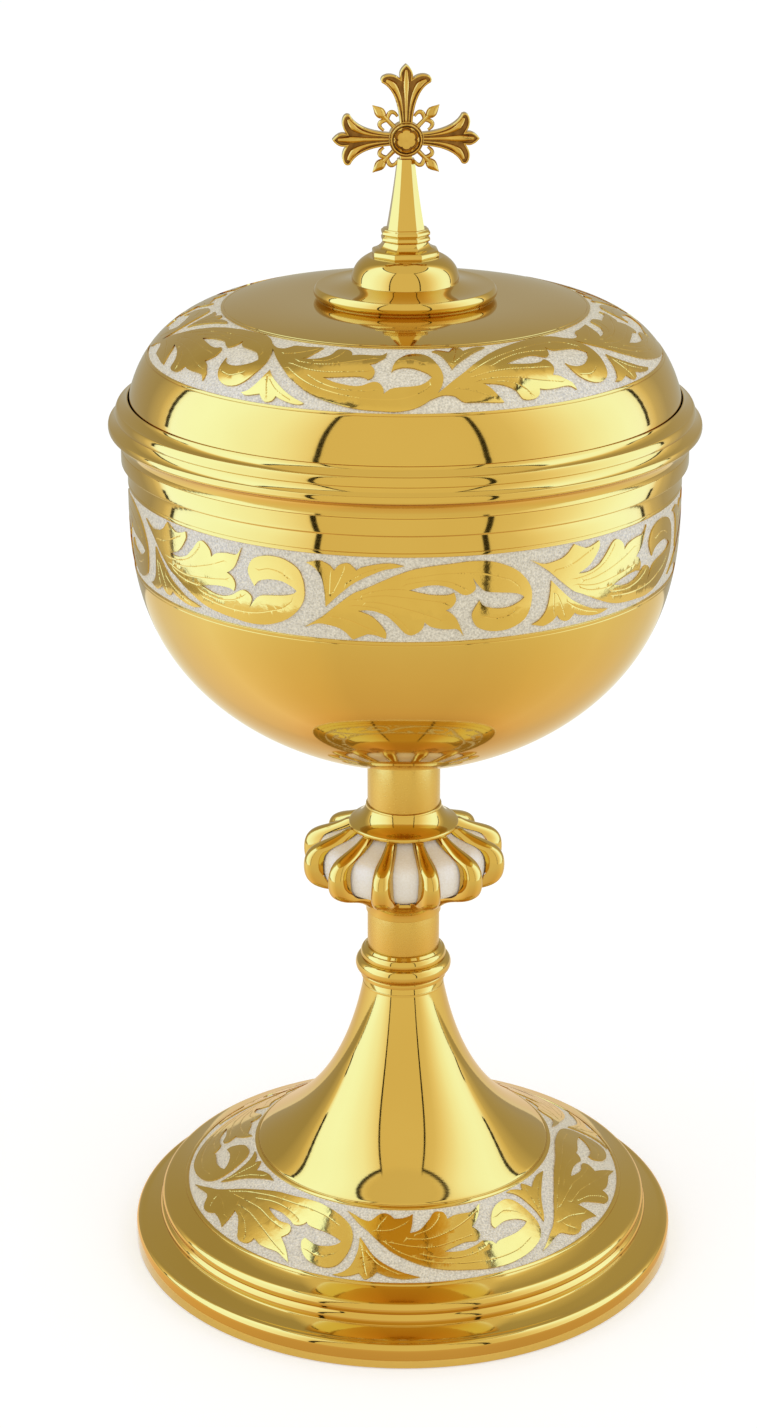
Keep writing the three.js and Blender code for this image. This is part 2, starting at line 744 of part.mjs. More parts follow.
function buildStem() {
  const stem = new THREE.Group();
  addPiece(stem, 'foot_collar', footCollar(), gold);
  addPiece(stem, 'lower_stem_tube', stemTube(collarTop, lowerTubeLength), gold);
  addPiece(stem, 'upper_stem_tube', stemTube(upperCollarTop, upperTubeLength), gold);
  const washerTop = footTop - footTopPlate;
  const washerBottom = washerTop - rodWasherThickness;
  const nutBottom = washerBottom - rodNutHeight;
  const washer = turned(ringOutline(rodBore, rodWasherRadius, washerBottom, washerTop), stemSides);
  addPiece(stem, 'rod_washer', washer, plainBrass);
  const nut = addPiece(stem, 'rod_nut', hexNut(rodNutAcrossFlats, rodNutHeight, rodBore), steel);
  nut.position.z = nutBottom;
  const rodTop = cupBase - socketRoof - fitGap;
  addPiece(stem, 'tie_rod', tieRod(nutBottom - rodTail, rodTop), steel);
  return stem;
}

function buildKnop() {
  const knop = new THREE.Group();
  addPiece(knop, 'knop_lower_ring', knopLowerRing(), gold);
  addPiece(knop, 'knop_core', knopCore(), frostedSilver);
  addPiece(knop, 'knop_upper_collar', knopUpperCollar(), gold);
  const rib = knopRib();
  for (let i = 0; i < ribCount; i += 1) {
    const name = `knop_rib_${String(i + 1).padStart(2, '0')}`;
    const mesh = addPiece(knop, name, rib, gold);
    mesh.position.z = knopBottom + knopHeight / 2;
    mesh.rotation.z = THREE.MathUtils.degToRad(ribTurn) + ((i + 0.5) * 2 * Math.PI) / ribCount;
  }
  return knop;
}

function buildCup() {
  const cup = new THREE.Group();
  addPiece(cup, 'cup_socket', cupSocket(), plainBrass);
  addPiece(cup, 'cup_bowl', cupBowl(), gold);
  return cup;
}

function buildLid() {
  const lid = new THREE.Group();
  addPiece(lid, 'lid_dome', lidDome(), gold);
  addPiece(lid, 'lid_rim', lidRim(), gold);
  addPiece(lid, 'lid_skirt', lidSkirt(), gold);
  const washerTop = lidTop - lidWall;
  const washerBottom = washerTop - finialWasherThickness;
  const nutBottom = washerBottom - finialNutHeight;
  const washer = turned(ringOutline(studBore, finialWasherRadius, washerBottom, washerTop), stemSides);
  addPiece(lid, 'finial_washer', washer, plainBrass);
  const nut = addPiece(lid, 'finial_nut', hexNut(finialNutAcrossFlats, finialNutHeight, studBore), plainBrass);
  nut.position.z = nutBottom;
  const stud = turned(ringOutline(0, studRadius, nutBottom - studTail, bossTop + studGrip), studSides);
  addPiece(lid, 'finial_stud', stud, steel);
  addPiece(lid, 'finial_boss', finialBoss(), gold);
  return lid;
}

function buildCross() {
  const cross = new THREE.Group();
  addPiece(cross, 'cross_pedestal', crossPedestal(), gold);
  addPiece(cross, 'cross_shaft', crossShaft(), gold);
  addPiece(cross, 'cross_head', crossHead(), gold);
  addPiece(cross, 'medallion_front', medallion(1), gold);
  addPiece(cross, 'medallion_back', medallion(-1), gold);
  return cross;
}

const group = new THREE.Group();
group.add(buildFoot(), buildStem(), buildKnop(), buildCup(), buildLid(), buildCross());

export default group;
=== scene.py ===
import math

import bpy
import bmesh
from mathutils import Matrix, Vector, geometry


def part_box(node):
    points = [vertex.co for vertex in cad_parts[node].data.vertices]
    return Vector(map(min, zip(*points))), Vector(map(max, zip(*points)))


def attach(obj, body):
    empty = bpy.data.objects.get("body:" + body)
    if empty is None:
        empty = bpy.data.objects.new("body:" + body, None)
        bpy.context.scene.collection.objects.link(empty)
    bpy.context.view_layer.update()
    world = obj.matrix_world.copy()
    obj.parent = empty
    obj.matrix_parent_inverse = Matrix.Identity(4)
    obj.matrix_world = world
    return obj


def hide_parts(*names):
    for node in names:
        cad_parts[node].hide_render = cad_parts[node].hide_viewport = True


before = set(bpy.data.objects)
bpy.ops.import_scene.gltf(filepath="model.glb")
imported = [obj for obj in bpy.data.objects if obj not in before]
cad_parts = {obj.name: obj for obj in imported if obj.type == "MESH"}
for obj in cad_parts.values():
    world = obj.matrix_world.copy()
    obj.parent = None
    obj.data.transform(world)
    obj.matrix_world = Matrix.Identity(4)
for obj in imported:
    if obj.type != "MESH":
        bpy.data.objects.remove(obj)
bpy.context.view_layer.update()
print("frame loaded with", len(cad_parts), "nodes")

mm = 0.001  # everything below is drawn in millimetres and scaled once, here
gold, silver = 0, 1  # the two finishes on a turned piece


def bottomOf(node):
    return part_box(node)[0][2] / mm


def topOf(node):
    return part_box(node)[1][2] / mm


# heights along the stem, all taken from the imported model
footTop = topOf("foot_flare")
collarTop = bottomOf("lower_stem_tube")
lowerTubeTop = topOf("lower_stem_tube")
knopBottom = bottomOf("knop_core")
knopTop = topOf("knop_core")
upperCollarTop = bottomOf("upper_stem_tube")
cupBase = bottomOf("cup_bowl")
lipTop = topOf("cup_bowl")
rimTop = topOf("lid_rim")
lidTop = topOf("lid_dome")
bossTop = topOf("finial_boss")
pedestalTop = topOf("cross_pedestal")
crossFoot = topOf("cross_shaft")
crossCentre = (bottomOf("medallion_front") + topOf("medallion_front")) / 2


# drawing outlines


class Outline:
    # a line of radius and height; each stretch keeps the finish of the surface it makes
    def __init__(self, radius, height):
        self.points = [Vector((radius, height))]
        self.finishes = []

    @property
    def end(self):
        return self.points[-1]

    def to(self, radius, height, finish=gold):
        self.points.append(Vector((radius, height)))
        self.finishes.append(finish)
        return self

    def by(self, across, up, finish=gold):
        return self.to(self.end.x + across, self.end.y + up, finish)

    # cubic curve with two handles
    def curve(self, handleA, handleB, end, steps=16, finish=gold):
        start, a, b, end = self.end.copy(), Vector(handleA), Vector(handleB), Vector(end)
        for i in range(1, steps + 1):
            t = i / steps
            s = 1 - t
            point = s * s * s * start + 3 * s * s * t * a + 3 * s * t * t * b + t * t * t * end
            self.to(point.x, point.y, finish)
        return self

    # shallow arc whose middle stands out by rise to the right of the way
    def bow(self, radius, height, rise, steps=10, finish=gold):
        start, end = self.end.copy(), Vector((radius, height))
        side = rightOf(end - start)
        middle = (start + end) / 2 + 2 * rise * side
        return self.curve(start.lerp(middle, 2 / 3), end.lerp(middle, 2 / 3), end, steps, finish)

    def bowBy(self, across, up, rise, steps=10, finish=gold):
        return self.bow(self.end.x + across, self.end.y + up, rise, steps, finish)

    # fuller arc, like a half-round bead
    def bead(self, radius, height, rise, steps=14):
        start, end = self.end.copy(), Vector((radius, height))
        handle = rightOf(end - start) * rise * 4 / 3
        return self.curve(start + handle, end + handle, end, steps)

    # fine turned line cut into the surface half way along a straight stretch
    def scored(self, radius, height, share=0.5, width=0.22, depth=0.13, finish=gold):
        start, end = self.end.copy(), Vector((radius, height))
        way = (end - start).normalized()
        middle = start.lerp(end, share)
        for along, deep in ((-width / 2, 0), (0, depth), (width / 2, 0)):
            point = middle + way * along - rightOf(way) * deep
            self.to(point.x, point.y, finish)
        return self.to(radius, height, finish)

    def follow(self, points, finish=gold):
        for point in points:
            self.to(point[0], point[1], finish)
        return self


def between(stops, value):
    # straight lines through the stops
    if value <= stops[0][0]:
        return stops[0][1]
    for (a, low), (b, high) in zip(stops, stops[1:]):
        if value <= b:
            return low + (high - low) * (value - a) / (b - a)
    return stops[-1][1]


def rightOf(way):
    return Vector((way.y, -way.x)).normalized()


def offsetPoints(points, distance):
    # the same line moved to the left of its way
    moved = []
    for i, point in enumerate(points):
        before = points[max(i - 1, 0)]
        after = points[min(i + 1, len(points) - 1)]
        moved.append(point - rightOf(after - before) * distance)
    return moved


def softened(points, finishes, cut, steps=3):
    # rounds every sharp corner of a closed outline, as polishing does
    outPoints, outFinishes = [], []
    count = len(points)
    for i, point in enumerate(points):
        wayIn = point - points[i - 1]
        wayOut = points[(i + 1) % count] - point
        sharp = point.x > 1e-6 and wayIn.length > 1e-6 and wayOut.length > 1e-6
        if not sharp or wayIn.angle(wayOut) < math.radians(24):
            outPoints.append(point)
            outFinishes.append(finishes[i])
            continue
        back = min(cut, 0.3 * wayIn.length, 0.3 * wayOut.length)
        start = point - wayIn.normalized() * back
        end = point + wayOut.normalized() * back
        for k in range(steps + 1):
            t = k / steps
            outPoints.append((1 - t) ** 2 * start + 2 * t * (1 - t) * point + t * t * end)
            outFinishes.append(gold if k < steps else finishes[i])
    return outPoints, outFinishes


def meshObject(name, points, faces, materials, materialOf=None, sharpAngle=38):
    mesh = bpy.data.meshes.new(name)
    mesh.from_pydata([(x * mm, y * mm, z * mm) for x, y, z in points], [], faces)
    for material in materials:
        mesh.materials.append(material)
    if materialOf:
        mesh.polygons.foreach_set("material_index", materialOf)
    mesh.polygons.foreach_set("use_smooth", [True] * len(mesh.polygons))
    mesh.set_sharp_from_angle(angle=math.radians(sharpAngle))
    mesh.update()
    piece = bpy.data.objects.new(name, mesh)
    bpy.context.scene.collection.objects.link(piece)
    return piece


def turned(name, line, materials, sides=144, cut=0.16, sharpAngle=38):
    # turns a closed outline about the axis
    points, finishes = list(line.points), list(line.finishes)
    if (points[0] - points[-1]).length < 1e-6:
        points.pop()
    finishes = (finishes + [gold])[: len(points)]
    points, finishes = softened(points, finishes, cut)
    area = sum(p.cross(q) for p, q in zip(points, points[1:] + points[:1]))
    verts, rings = [], []
    for point in points:
        if point.x < 1e-6:
            rings.append([len(verts)] * sides)
            verts.append((0, 0, point.y))
            continue
        rings.append([len(verts) + k for k in range(sides)])
        for k in range(sides):
            angle = 2 * math.pi * k / sides
            verts.append((point.x * math.cos(angle), point.x * math.sin(angle), point.y))
    faces, materialOf = [], []
    for i, ring in enumerate(rings):
        nextRing = rings[(i + 1) % len(rings)]
        for k in range(sides):
            j = (k + 1) % sides
            corners = [ring[k], ring[j], nextRing[j], nextRing[k]]
            corners = list(dict.fromkeys(corners))
            if len(corners) < 3:
                continue
            faces.append(corners if area > 0 else corners[::-1])
            materialOf.append(min(finishes[i], len(materials) - 1))
    return meshObject(name, verts, faces, materials, materialOf, sharpAngle)


def place(piece, body, slotName, *nodes):
    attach(piece, body)
    if nodes:
        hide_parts(*nodes)
    return piece


# finishes


def newFinish(name):
    material = bpy.data.materials.new(name)
    material.use_nodes = True
    tree = material.node_tree
    return material, tree, tree.nodes["Principled BSDF"]


def addNode(tree, kind, **values):
    node = tree.nodes.new(kind)
    for key, value in values.items():
        if hasattr(node, key):
            setattr(node, key, value)
        else:
            node.inputs[key.replace("_", " ")].default_value = value
    return node


def maths(tree, operation, *values, **options):
    # each value is a number or another node's output
    node = addNode(tree, "ShaderNodeMath", operation=operation, **options)
    for socket, value in zip(node.inputs, values):
        if isinstance(value, (int, float)):
            socket.default_value = value
        else:
            tree.links.new(value, socket)
    return node.outputs[0]


def ramp(tree, factor, stops):
    node = addNode(tree, "ShaderNodeValToRGB")
    elements = node.color_ramp.elements
    while len(elements) < len(stops):
        elements.new(0.5)
    for element, (position, colour) in zip(elements, stops):
        element.position = position
        element.color = (*colour, 1)
    tree.links.new(factor, node.inputs["Fac"])
    return node.outputs["Color"]


def spread(tree, value, low, high):
    node = addNode(tree, "ShaderNodeMapRange")
    node.inputs["From Min"].default_value = 0.3
    node.inputs["From Max"].default_value = 0.7
    node.inputs["To Min"].default_value = low
    node.inputs["To Max"].default_value = high
    tree.links.new(value, node.inputs["Value"])
    return node.outputs["Result"]


def aroundAxis(tree):
    # radius and height of a point, for marks that run round a turned piece
    spot = addNode(tree, "ShaderNodeTexCoord").outputs["Object"]
    parts = addNode(tree, "ShaderNodeSeparateXYZ")
    tree.links.new(spot, parts.inputs[0])
    flat = addNode(tree, "ShaderNodeCombineXYZ")
    tree.links.new(parts.outputs["X"], flat.inputs["X"])
    tree.links.new(parts.outputs["Y"], flat.inputs["Y"])
    radius = addNode(tree, "ShaderNodeVectorMath", operation="LENGTH")
    tree.links.new(flat.outputs[0], radius.inputs[0])
    angle = maths(tree, "ARCTAN2", parts.outputs["Y"], parts.outputs["X"])
    slow = maths(tree, "MULTIPLY", angle, 0.004)  # a mark runs far round before it changes
    out = addNode(tree, "ShaderNodeCombineXYZ")
    tree.links.new(radius.outputs["Value"], out.inputs["X"])
    tree.links.new(slow, out.inputs["Y"])
    tree.links.new(parts.outputs["Z"], out.inputs["Z"])
    return out.outputs[0], spot


def metal(name, look):
    material, tree, shader = newFinish(name)
    around, plain = aroundAxis(tree)
    clouds = addNode(tree, "ShaderNodeTexNoise", Scale=look["cloudScale"], Detail=4.0)
    tree.links.new(plain, clouds.inputs["Vector"])
    marks = addNode(tree, "ShaderNodeTexNoise", Scale=look["markScale"], Detail=2.0)
    tree.links.new(around if look["turnedMarks"] else plain, marks.inputs["Vector"])
    colour = ramp(tree, clouds.outputs["Fac"], [(0.3, look["dark"]), (0.7, look["light"])])
    tree.links.new(colour, shader.inputs["Base Color"])
    rest = maths(tree, "MULTIPLY", clouds.outputs["Fac"], 1 - look["markShare"])
    mixed = maths(tree, "MULTIPLY_ADD", marks.outputs["Fac"], look["markShare"], rest)
    rough = spread(tree, mixed, look["smoothest"], look["roughest"])
    tree.links.new(rough, shader.inputs["Roughness"])
    bump = addNode(tree, "ShaderNodeBump", Strength=look["bump"], Distance=look["bumpHeight"])
    tree.links.new(marks.outputs["Fac"], bump.inputs["Height"])
    tree.links.new(bump.outputs[0], shader.inputs["Normal"])
    shader.inputs["Metallic"].default_value = look.get("metallic", 1.0)
    return material


polishedGoldLook = dict(
    light=(0.675, 0.44, 0.098), dark=(0.65, 0.415, 0.088), cloudScale=28.0, markScale=2400.0,
    turnedMarks=True, markShare=0.35, smoothest=0.035, roughest=0.075, bump=0.008, bumpHeight=0.0002,
)
satinGoldLook = dict(
    light=(0.69, 0.45, 0.105), dark=(0.655, 0.41, 0.085), cloudScale=60.0, markScale=2600.0,
    turnedMarks=True, markShare=0.5, smoothest=0.20, roughest=0.30, bump=0.06, bumpHeight=0.0002,
)
leafGoldLook = dict(
    light=(0.70, 0.46, 0.10), dark=(0.66, 0.42, 0.085), cloudScale=120.0, markScale=900.0,
    turnedMarks=False, markShare=0.4, smoothest=0.05, roughest=0.11, bump=0.03, bumpHeight=0.0003,
)
castGoldLook = dict(
    light=(0.70, 0.45, 0.105), dark=(0.56, 0.33, 0.065), cloudScale=260.0, markScale=1500.0,
    turnedMarks=False, markShare=0.5, smoothest=0.07, roughest=0.17, bump=0.15, bumpHeight=0.0002,
)
# painted shade: a dark copy of the cast gilt for the sunk fields of the cross and the medallions
shadedGoldLook = dict(
    light=(0.30, 0.14, 0.03), dark=(0.12, 0.05, 0.012), cloudScale=420.0, markScale=1500.0,
    turnedMarks=False, markShare=0.5, smoothest=0.14, roughest=0.30, bump=0.15, bumpHeight=0.0002,
)
mattSilverLook = dict(
    light=(0.93, 0.85, 0.67), dark=(0.53, 0.48, 0.375), cloudScale=2300.0, markScale=2800.0, metallic=0.04,
    turnedMarks=False, markShare=0.5, smoothest=0.34, roughest=0.5, bump=0.5, bumpHeight=0.0002,
)
# a lighter copy of the matted silver for the knop's core, painted light against the shade its ribs throw on
# it; its bump is also lower
knopSilverLook = dict(
    light=(0.97, 0.93, 0.85), dark=(0.90, 0.84, 0.73), cloudScale=2300.0, markScale=2800.0, metallic=0.04,
    turnedMarks=False, markShare=0.5, smoothest=0.34, roughest=0.5, bump=0.3, bumpHeight=0.0002,
)
plainBrassLook = dict(
    light=(0.55, 0.37, 0.13), dark=(0.40, 0.26, 0.09), cloudScale=90.0, markScale=1200.0,
    turnedMarks=True, markShare=0.6, smoothest=0.28, roughest=0.45, bump=0.15, bumpHeight=0.0002,
)
turnedSteelLook = dict(
    light=(0.56, 0.57, 0.58), dark=(0.42, 0.42, 0.43), cloudScale=150.0, markScale=1500.0,
    turnedMarks=True, markShare=0.6, smoothest=0.25, roughest=0.42, bump=0.15, bumpHeight=0.0002,
)

polishedGold = metal("polished gilt", polishedGoldLook)
satinGold = metal("satin gilt tube", satinGoldLook)
leafGold = metal("gilt leafwork", leafGoldLook)
castGold = metal("cast gilt", castGoldLook)
shadedGold = metal("gilt with painted shade in the recesses", shadedGoldLook)
mattSilver = metal("matted silver", mattSilverLook)
knopSilver = metal("knop silver lightened with painted light", knopSilverLook)
plainBrass = metal("plain brass", plainBrassLook)
turnedSteel = metal("turned steel", turnedSteelLook)
print("finishes made")


# foot

foot = dict(
    radius=64.2, edge=4.0, edgeRound=1.7, edgeSwell=0.51, ledge=0.4,
    outerCove=(4.0, 1.55), outerSag=0.0775, bead=(0.55, 2.375), beadSwell=0.5225, beads=2,
    innerCove=(4.4, 1.8), innerSag=0.072, border=1.1, band=(16.2, 9.5), sunk=0.3, wall=1.2,
    flareSlope=39, flareBaseHandle=8.5, flareThroatHandle=29.5, flareThroatLean=4.9,
    throat=9.1, plate=1.6, bore=2.8,
)
footBandWay = Vector((-foot["band"][0], foot["band"][1])).normalized()


def baseOutline(sunk, steps):
    f = foot
    line = Outline(f["radius"], 0)
    line.by(0, f["edge"])
    line.bowBy(-f["edgeRound"], f["edgeRound"], f["edgeSwell"], steps)
    line.by(-f["ledge"], 0)
    line.bowBy(-f["outerCove"][0], f["outerCove"][1], -f["outerSag"], steps)
    for _ in range(f["beads"]):
        line.bowBy(-f["bead"][0], f["bead"][1], f["beadSwell"], steps)
    line.bowBy(-f["innerCove"][0], f["innerCove"][1], -f["innerSag"], steps)
    edge = footBandWay * f["border"]
    deep = rightOf(footBandWay) * -sunk
    line.scored(line.end.x + edge.x, line.end.y + edge.y, 0.2) if sunk else line.by(edge.x, edge.y)
    if sunk:
        line.by(deep.x, deep.y)
    line.by(-f["band"][0], f["band"][1], silver)
    if sunk:
        line.by(-deep.x, -deep.y)
        line.scored(line.end.x + edge.x, line.end.y + edge.y, 0.8)
    else:
        line.by(edge.x, edge.y)
    return line


def buildFoot():
    f = foot
    line = baseOutline(f["sunk"], 8)
    inside = offsetPoints(baseOutline(0, 1).points, f["wall"])
    inside[0].y = 0
    innerEnd = inside[-1].copy()
    line.follow(inside[::-1])
    base = turned("foot_base_dressed", line, [polishedGold, mattSilver], sides=180)
    place(base, "stand", "polished_gold", "foot_base")

    start = baseOutline(0, 1).end
    line = Outline(start.x, start.y)
    slope = math.radians(180 - f["flareSlope"])
    baseHandle = start + Vector((math.cos(slope), math.sin(slope))) * f["flareBaseHandle"]
    throatHandle = (f["throat"] + f["flareThroatLean"], footTop - f["flareThroatHandle"])
    line.curve(baseHandle, throatHandle, (f["throat"], footTop), 44)
    inside = offsetPoints(line.points[::4], f["wall"])
    inside[0] = innerEnd
    line.to(f["bore"], footTop).to(f["bore"], footTop - f["plate"])
    below = [p for p in inside if p.y < footTop - f["plate"]]
    line.to(below[-1].x, footTop - f["plate"])
    line.follow(below[::-1])
    flare = turned("foot_flare_dressed", line, [polishedGold], sides=120)
    place(flare, "stand", "polished_gold", "foot_flare")


buildFoot()
print("foot turned")


# stem

stem = dict(
    tube=8.35, tubeBore=7.35, spigot=7.05, bore=2.8, spigotHeight=2.0,
    collarFoot=9.9, collarTorus=11.15, collarBead=9.95, collarTop=8.7,
    ringNeck=8.7, ringTop=10.5, collarRadius=12.6, collarRim=0.8,
)


def buildStem():
    s = stem
    high = collarTop - footTop
    neck = s["collarFoot"] - 0.25
    line = Outline(s["bore"], footTop).to(s["collarFoot"], footTop).by(0, 0.12 * high)
    line.by(-0.25, 0.04 * high)
    line.bead(neck, footTop + 0.65 * high, s["collarTorus"] - neck)
    line.bead(s["collarTop"] + 0.5, footTop + 0.92 * high, s["collarBead"] - neck + 0.2)
    line.to(s["collarTop"], collarTop).to(s["spigot"], collarTop).by(0, s["spigotHeight"])
    line.to(s["bore"], line.end.y)
    collar = turned("foot_collar_dressed", line, [polishedGold], sides=96, cut=0.1)
    place(collar, "stand", "polished_gold", "foot_collar")

    for name, low, high in (
        ("lower_stem_tube", collarTop, lowerTubeTop),
        ("upper_stem_tube", upperCollarTop, cupBase),
    ):
        line = Outline(s["tubeBore"], low).to(s["tube"], low).to(s["tube"], high)
        line.to(s["tubeBore"], high)
        tube = turned(name + "_dressed", line, [satinGold], sides=96, cut=0.12)
        place(tube, "stand", "polished_gold", name)

    high = knopBottom - lowerTubeTop
    line = Outline(s["bore"], lowerTubeTop - s["spigotHeight"])
    line.to(s["spigot"], line.end.y).by(0, s["spigotHeight"]).to(s["ringNeck"], lowerTubeTop)
    line.by(0, 0.15 * high)
    line.bow(s["ringTop"], knopBottom - 0.15 * high, -0.35)
    line.to(s["ringTop"], knopBottom).to(s["bore"], knopBottom)
    ring = turned("knop_lower_ring_dressed", line, [polishedGold], sides=96, cut=0.12)
    place(ring, "stand", "polished_gold", "knop_lower_ring")

    high = upperCollarTop - knopTop
    line = Outline(s["bore"], knopTop).to(s["collarRadius"], knopTop).by(0, s["collarRim"])
    line.by(-0.4, 0.3)
    line.bow(s["ringNeck"] + 0.25, upperCollarTop - 0.22 * high, -0.45)
    line.to(s["ringNeck"], upperCollarTop - 0.12 * high)
    line.to(s["ringNeck"], upperCollarTop).to(s["spigot"], upperCollarTop)
    line.by(0, s["spigotHeight"]).to(s["bore"], line.end.y)
    collar = turned("knop_upper_collar_dressed", line, [polishedGold], sides=96, cut=0.2)
    place(collar, "stand", "polished_gold", "knop_upper_collar")


buildStem()
print("stem turned")


# knop

knop = dict(
    core=19.7, coreEnd=10.2, belly=0.8, shoulder=0.53, shoulderRise=0.45,
    ribs=12, ribTurn=-3.5, ribRadius=23.8, ribFoot=11.5, ribFootDrop=1.6, heelLean=0.6, gap=0.3,
    crestBelly=(0.75, 0.68), stations=44,
    ribThick=[(0, 2.0), (0.05, 3.2), (0.13, 4.4), (0.3, 5.1), (0.5, 5.0), (0.7, 4.2),
              (0.85, 3.2), (1, 2.3)],
)


def bellyPoints(radius, endRadius, endHeight, steps, belly=knop["belly"]):
    # from the widest ring to one end, for the core and for the ribs' crest
    k = knop
    line = Outline(radius, 0)
    shoulder = (radius - k["shoulder"] * (radius - endRadius), k["shoulderRise"] * endHeight)
    line.curve((radius, belly * endHeight), shoulder, (endRadius, endHeight), steps)
    return line.points


def wholeBelly(lower, upper):
    return [Vector((p.x, -p.y)) for p in lower[::-1]] + list(upper[1:])


def cutAt(points, height):
    for before, after in zip(points, points[1:]):
        if after.y >= height:
            share = (height - before.y) / (after.y - before.y)
            return points[: points.index(before) + 1] + [before.lerp(after, share)]
    return points


def buildKnop():
    k, s = knop, stem
    middle = (knopBottom + knopTop) / 2
    half = (knopTop - knopBottom) / 2
    belly = bellyPoints(k["core"], k["coreEnd"], half, 18)
    line = Outline(s["bore"], knopBottom)
    line.follow([(p.x, p.y + middle) for p in wholeBelly(belly, belly)], silver)
    line.to(s["bore"], knopTop)
    # the core's silver is the lighter copy, painted light
    core = turned("knop_core_dressed", line, [polishedGold, knopSilver], sides=120)
    place(core, "stand", "frosted_silver", "knop_core")

    drop = half + k["ribFootDrop"]
    lower, upper = (bellyPoints(k["ribRadius"], k["ribFoot"], drop, 22, belly)
                    for belly in k["crestBelly"])
    outer = wholeBelly(lower, cutAt(upper, half))
    seatRadius = s["ringTop"] + 1.2 * k["gap"]
    seat = bellyPoints(k["core"] + k["gap"], seatRadius, half + k["gap"], 14)
    top = bellyPoints(k["core"] + k["gap"], k["coreEnd"] + k["gap"], half, 14)
    inner = [Vector((seatRadius - k["heelLean"], -drop))] + wholeBelly(seat, top)
    outer = evenly(outer, k["stations"])
    inner = evenly(inner, k["stations"])
    for i in range(k["ribs"]):
        turn = math.radians(k["ribTurn"]) + (i + 0.5) * 2 * math.pi / k["ribs"]
        name = "knop_rib_%02d" % (i + 1)
        rib = ribPlate(name + "_dressed", outer, inner, turn, middle)
        place(rib, "stand", "polished_gold", name)


def evenly(points, count):
    # the same line with its points at even steps
    lengths = [0]
    for a, b in zip(points, points[1:]):
        lengths.append(lengths[-1] + (b - a).length)
    line, k = [], 1
    for i in range(count):
        target = lengths[-1] * i / (count - 1)
        while k < len(points) - 1 and lengths[k] < target:
            k += 1
        share = (target - lengths[k - 1]) / (lengths[k] - lengths[k - 1])
        line.append(points[k - 1].lerp(points[k], share))
    return line


def ribPlate(name, outer, inner, turn, middle):
    # half-round rings across the rib, one above the other from its foot to its top
    mesh = bmesh.new()
    rings = []
    for i, (out, root) in enumerate(zip(outer, inner)):
        half = between(knop["ribThick"], i / (len(outer) - 1)) / 2
        ring = []
        for step in range(17):
            angle = math.pi * (step / 16 - 0.5)
            flat = abs(math.sin(angle)) ** 0.8 * (1 if angle > 0 else -1)
            reach = root.lerp(out, max(math.cos(angle), 0) ** 0.8)
            ring.append(mesh.verts.new((reach.x, half * flat, reach.y)))
        rings.append(ring)
    count = len(rings[0])
    for low, high in zip(rings, rings[1:]):
        for k in range(count):
            j = (k + 1) % count
            mesh.faces.new((low[k], low[j], high[j], high[k]))
    mesh.faces.new(rings[0][::-1])
    mesh.faces.new(rings[-1])
    bmesh.ops.recalc_face_normals(mesh, faces=mesh.faces)
    bmesh.ops.rotate(mesh, verts=mesh.verts, matrix=Matrix.Rotation(turn, 3, "Z"))
    bmesh.ops.translate(mesh, verts=mesh.verts, vec=(0, 0, middle))
    return fromBmesh(name, mesh, [polishedGold], 50)


def fromBmesh(name, mesh, materials, sharpAngle=38):
    bmesh.ops.scale(mesh, vec=(mm, mm, mm), verts=mesh.verts)
    data = bpy.data.meshes.new(name)
    mesh.to_mesh(data)
    mesh.free()
    for material in materials:
        data.materials.append(material)
    data.polygons.foreach_set("use_smooth", [True] * len(data.polygons))
    data.set_sharp_from_angle(angle=math.radians(sharpAngle))
    piece = bpy.data.objects.new(name, data)
    bpy.context.scene.collection.objects.link(piece)
    return piece


buildKnop()
print("knop built")


# cup

cup = dict(
    radius=61.0, wall=1.05, depth=63.1, across=1.68, down=2.65, seat=8.65, plate=1.6,
    bandDrop=8.5, bandHeight=18.5, sunk=0.3, border=1.0,
    lipHeight=7.2, lipProud=1.35, collar=4.3,
)
lipBottom = lipTop - cup["lipHeight"]
bowlTop = lipBottom - cup["collar"]
cupBandTop = lipTop - cup["bandDrop"]
cupBandBottom = cupBandTop - cup["bandHeight"]


def bowlRadius(height, radius, depth):
    drop = min(max((bowlTop - height) / depth, 0), 1)
    return radius * (1 - drop ** cup["down"]) ** (1 / cup["across"])


def bowlPoints(radius, depth, fromRadius, toHeight, steps):
    start = math.asin((fromRadius / radius) ** (cup["across"] / 2))
    toDrop = max((bowlTop - toHeight) / depth, 0)
    finish = math.acos(toDrop ** (cup["down"] / 2))
    points = []
    for i in range(steps + 1):
        angle = start + (finish - start) * i / steps
        across = radius * math.sin(angle) ** (2 / cup["across"])
        points.append(Vector((across, bowlTop - depth * math.cos(angle) ** (2 / cup["down"]))))
    return points


def cupBandLine(steps=12):
    heights = [cupBandBottom + cup["bandHeight"] * i / steps for i in range(steps + 1)]
    return [Vector((bowlRadius(h, cup["radius"], cup["depth"]), h)) for h in heights]


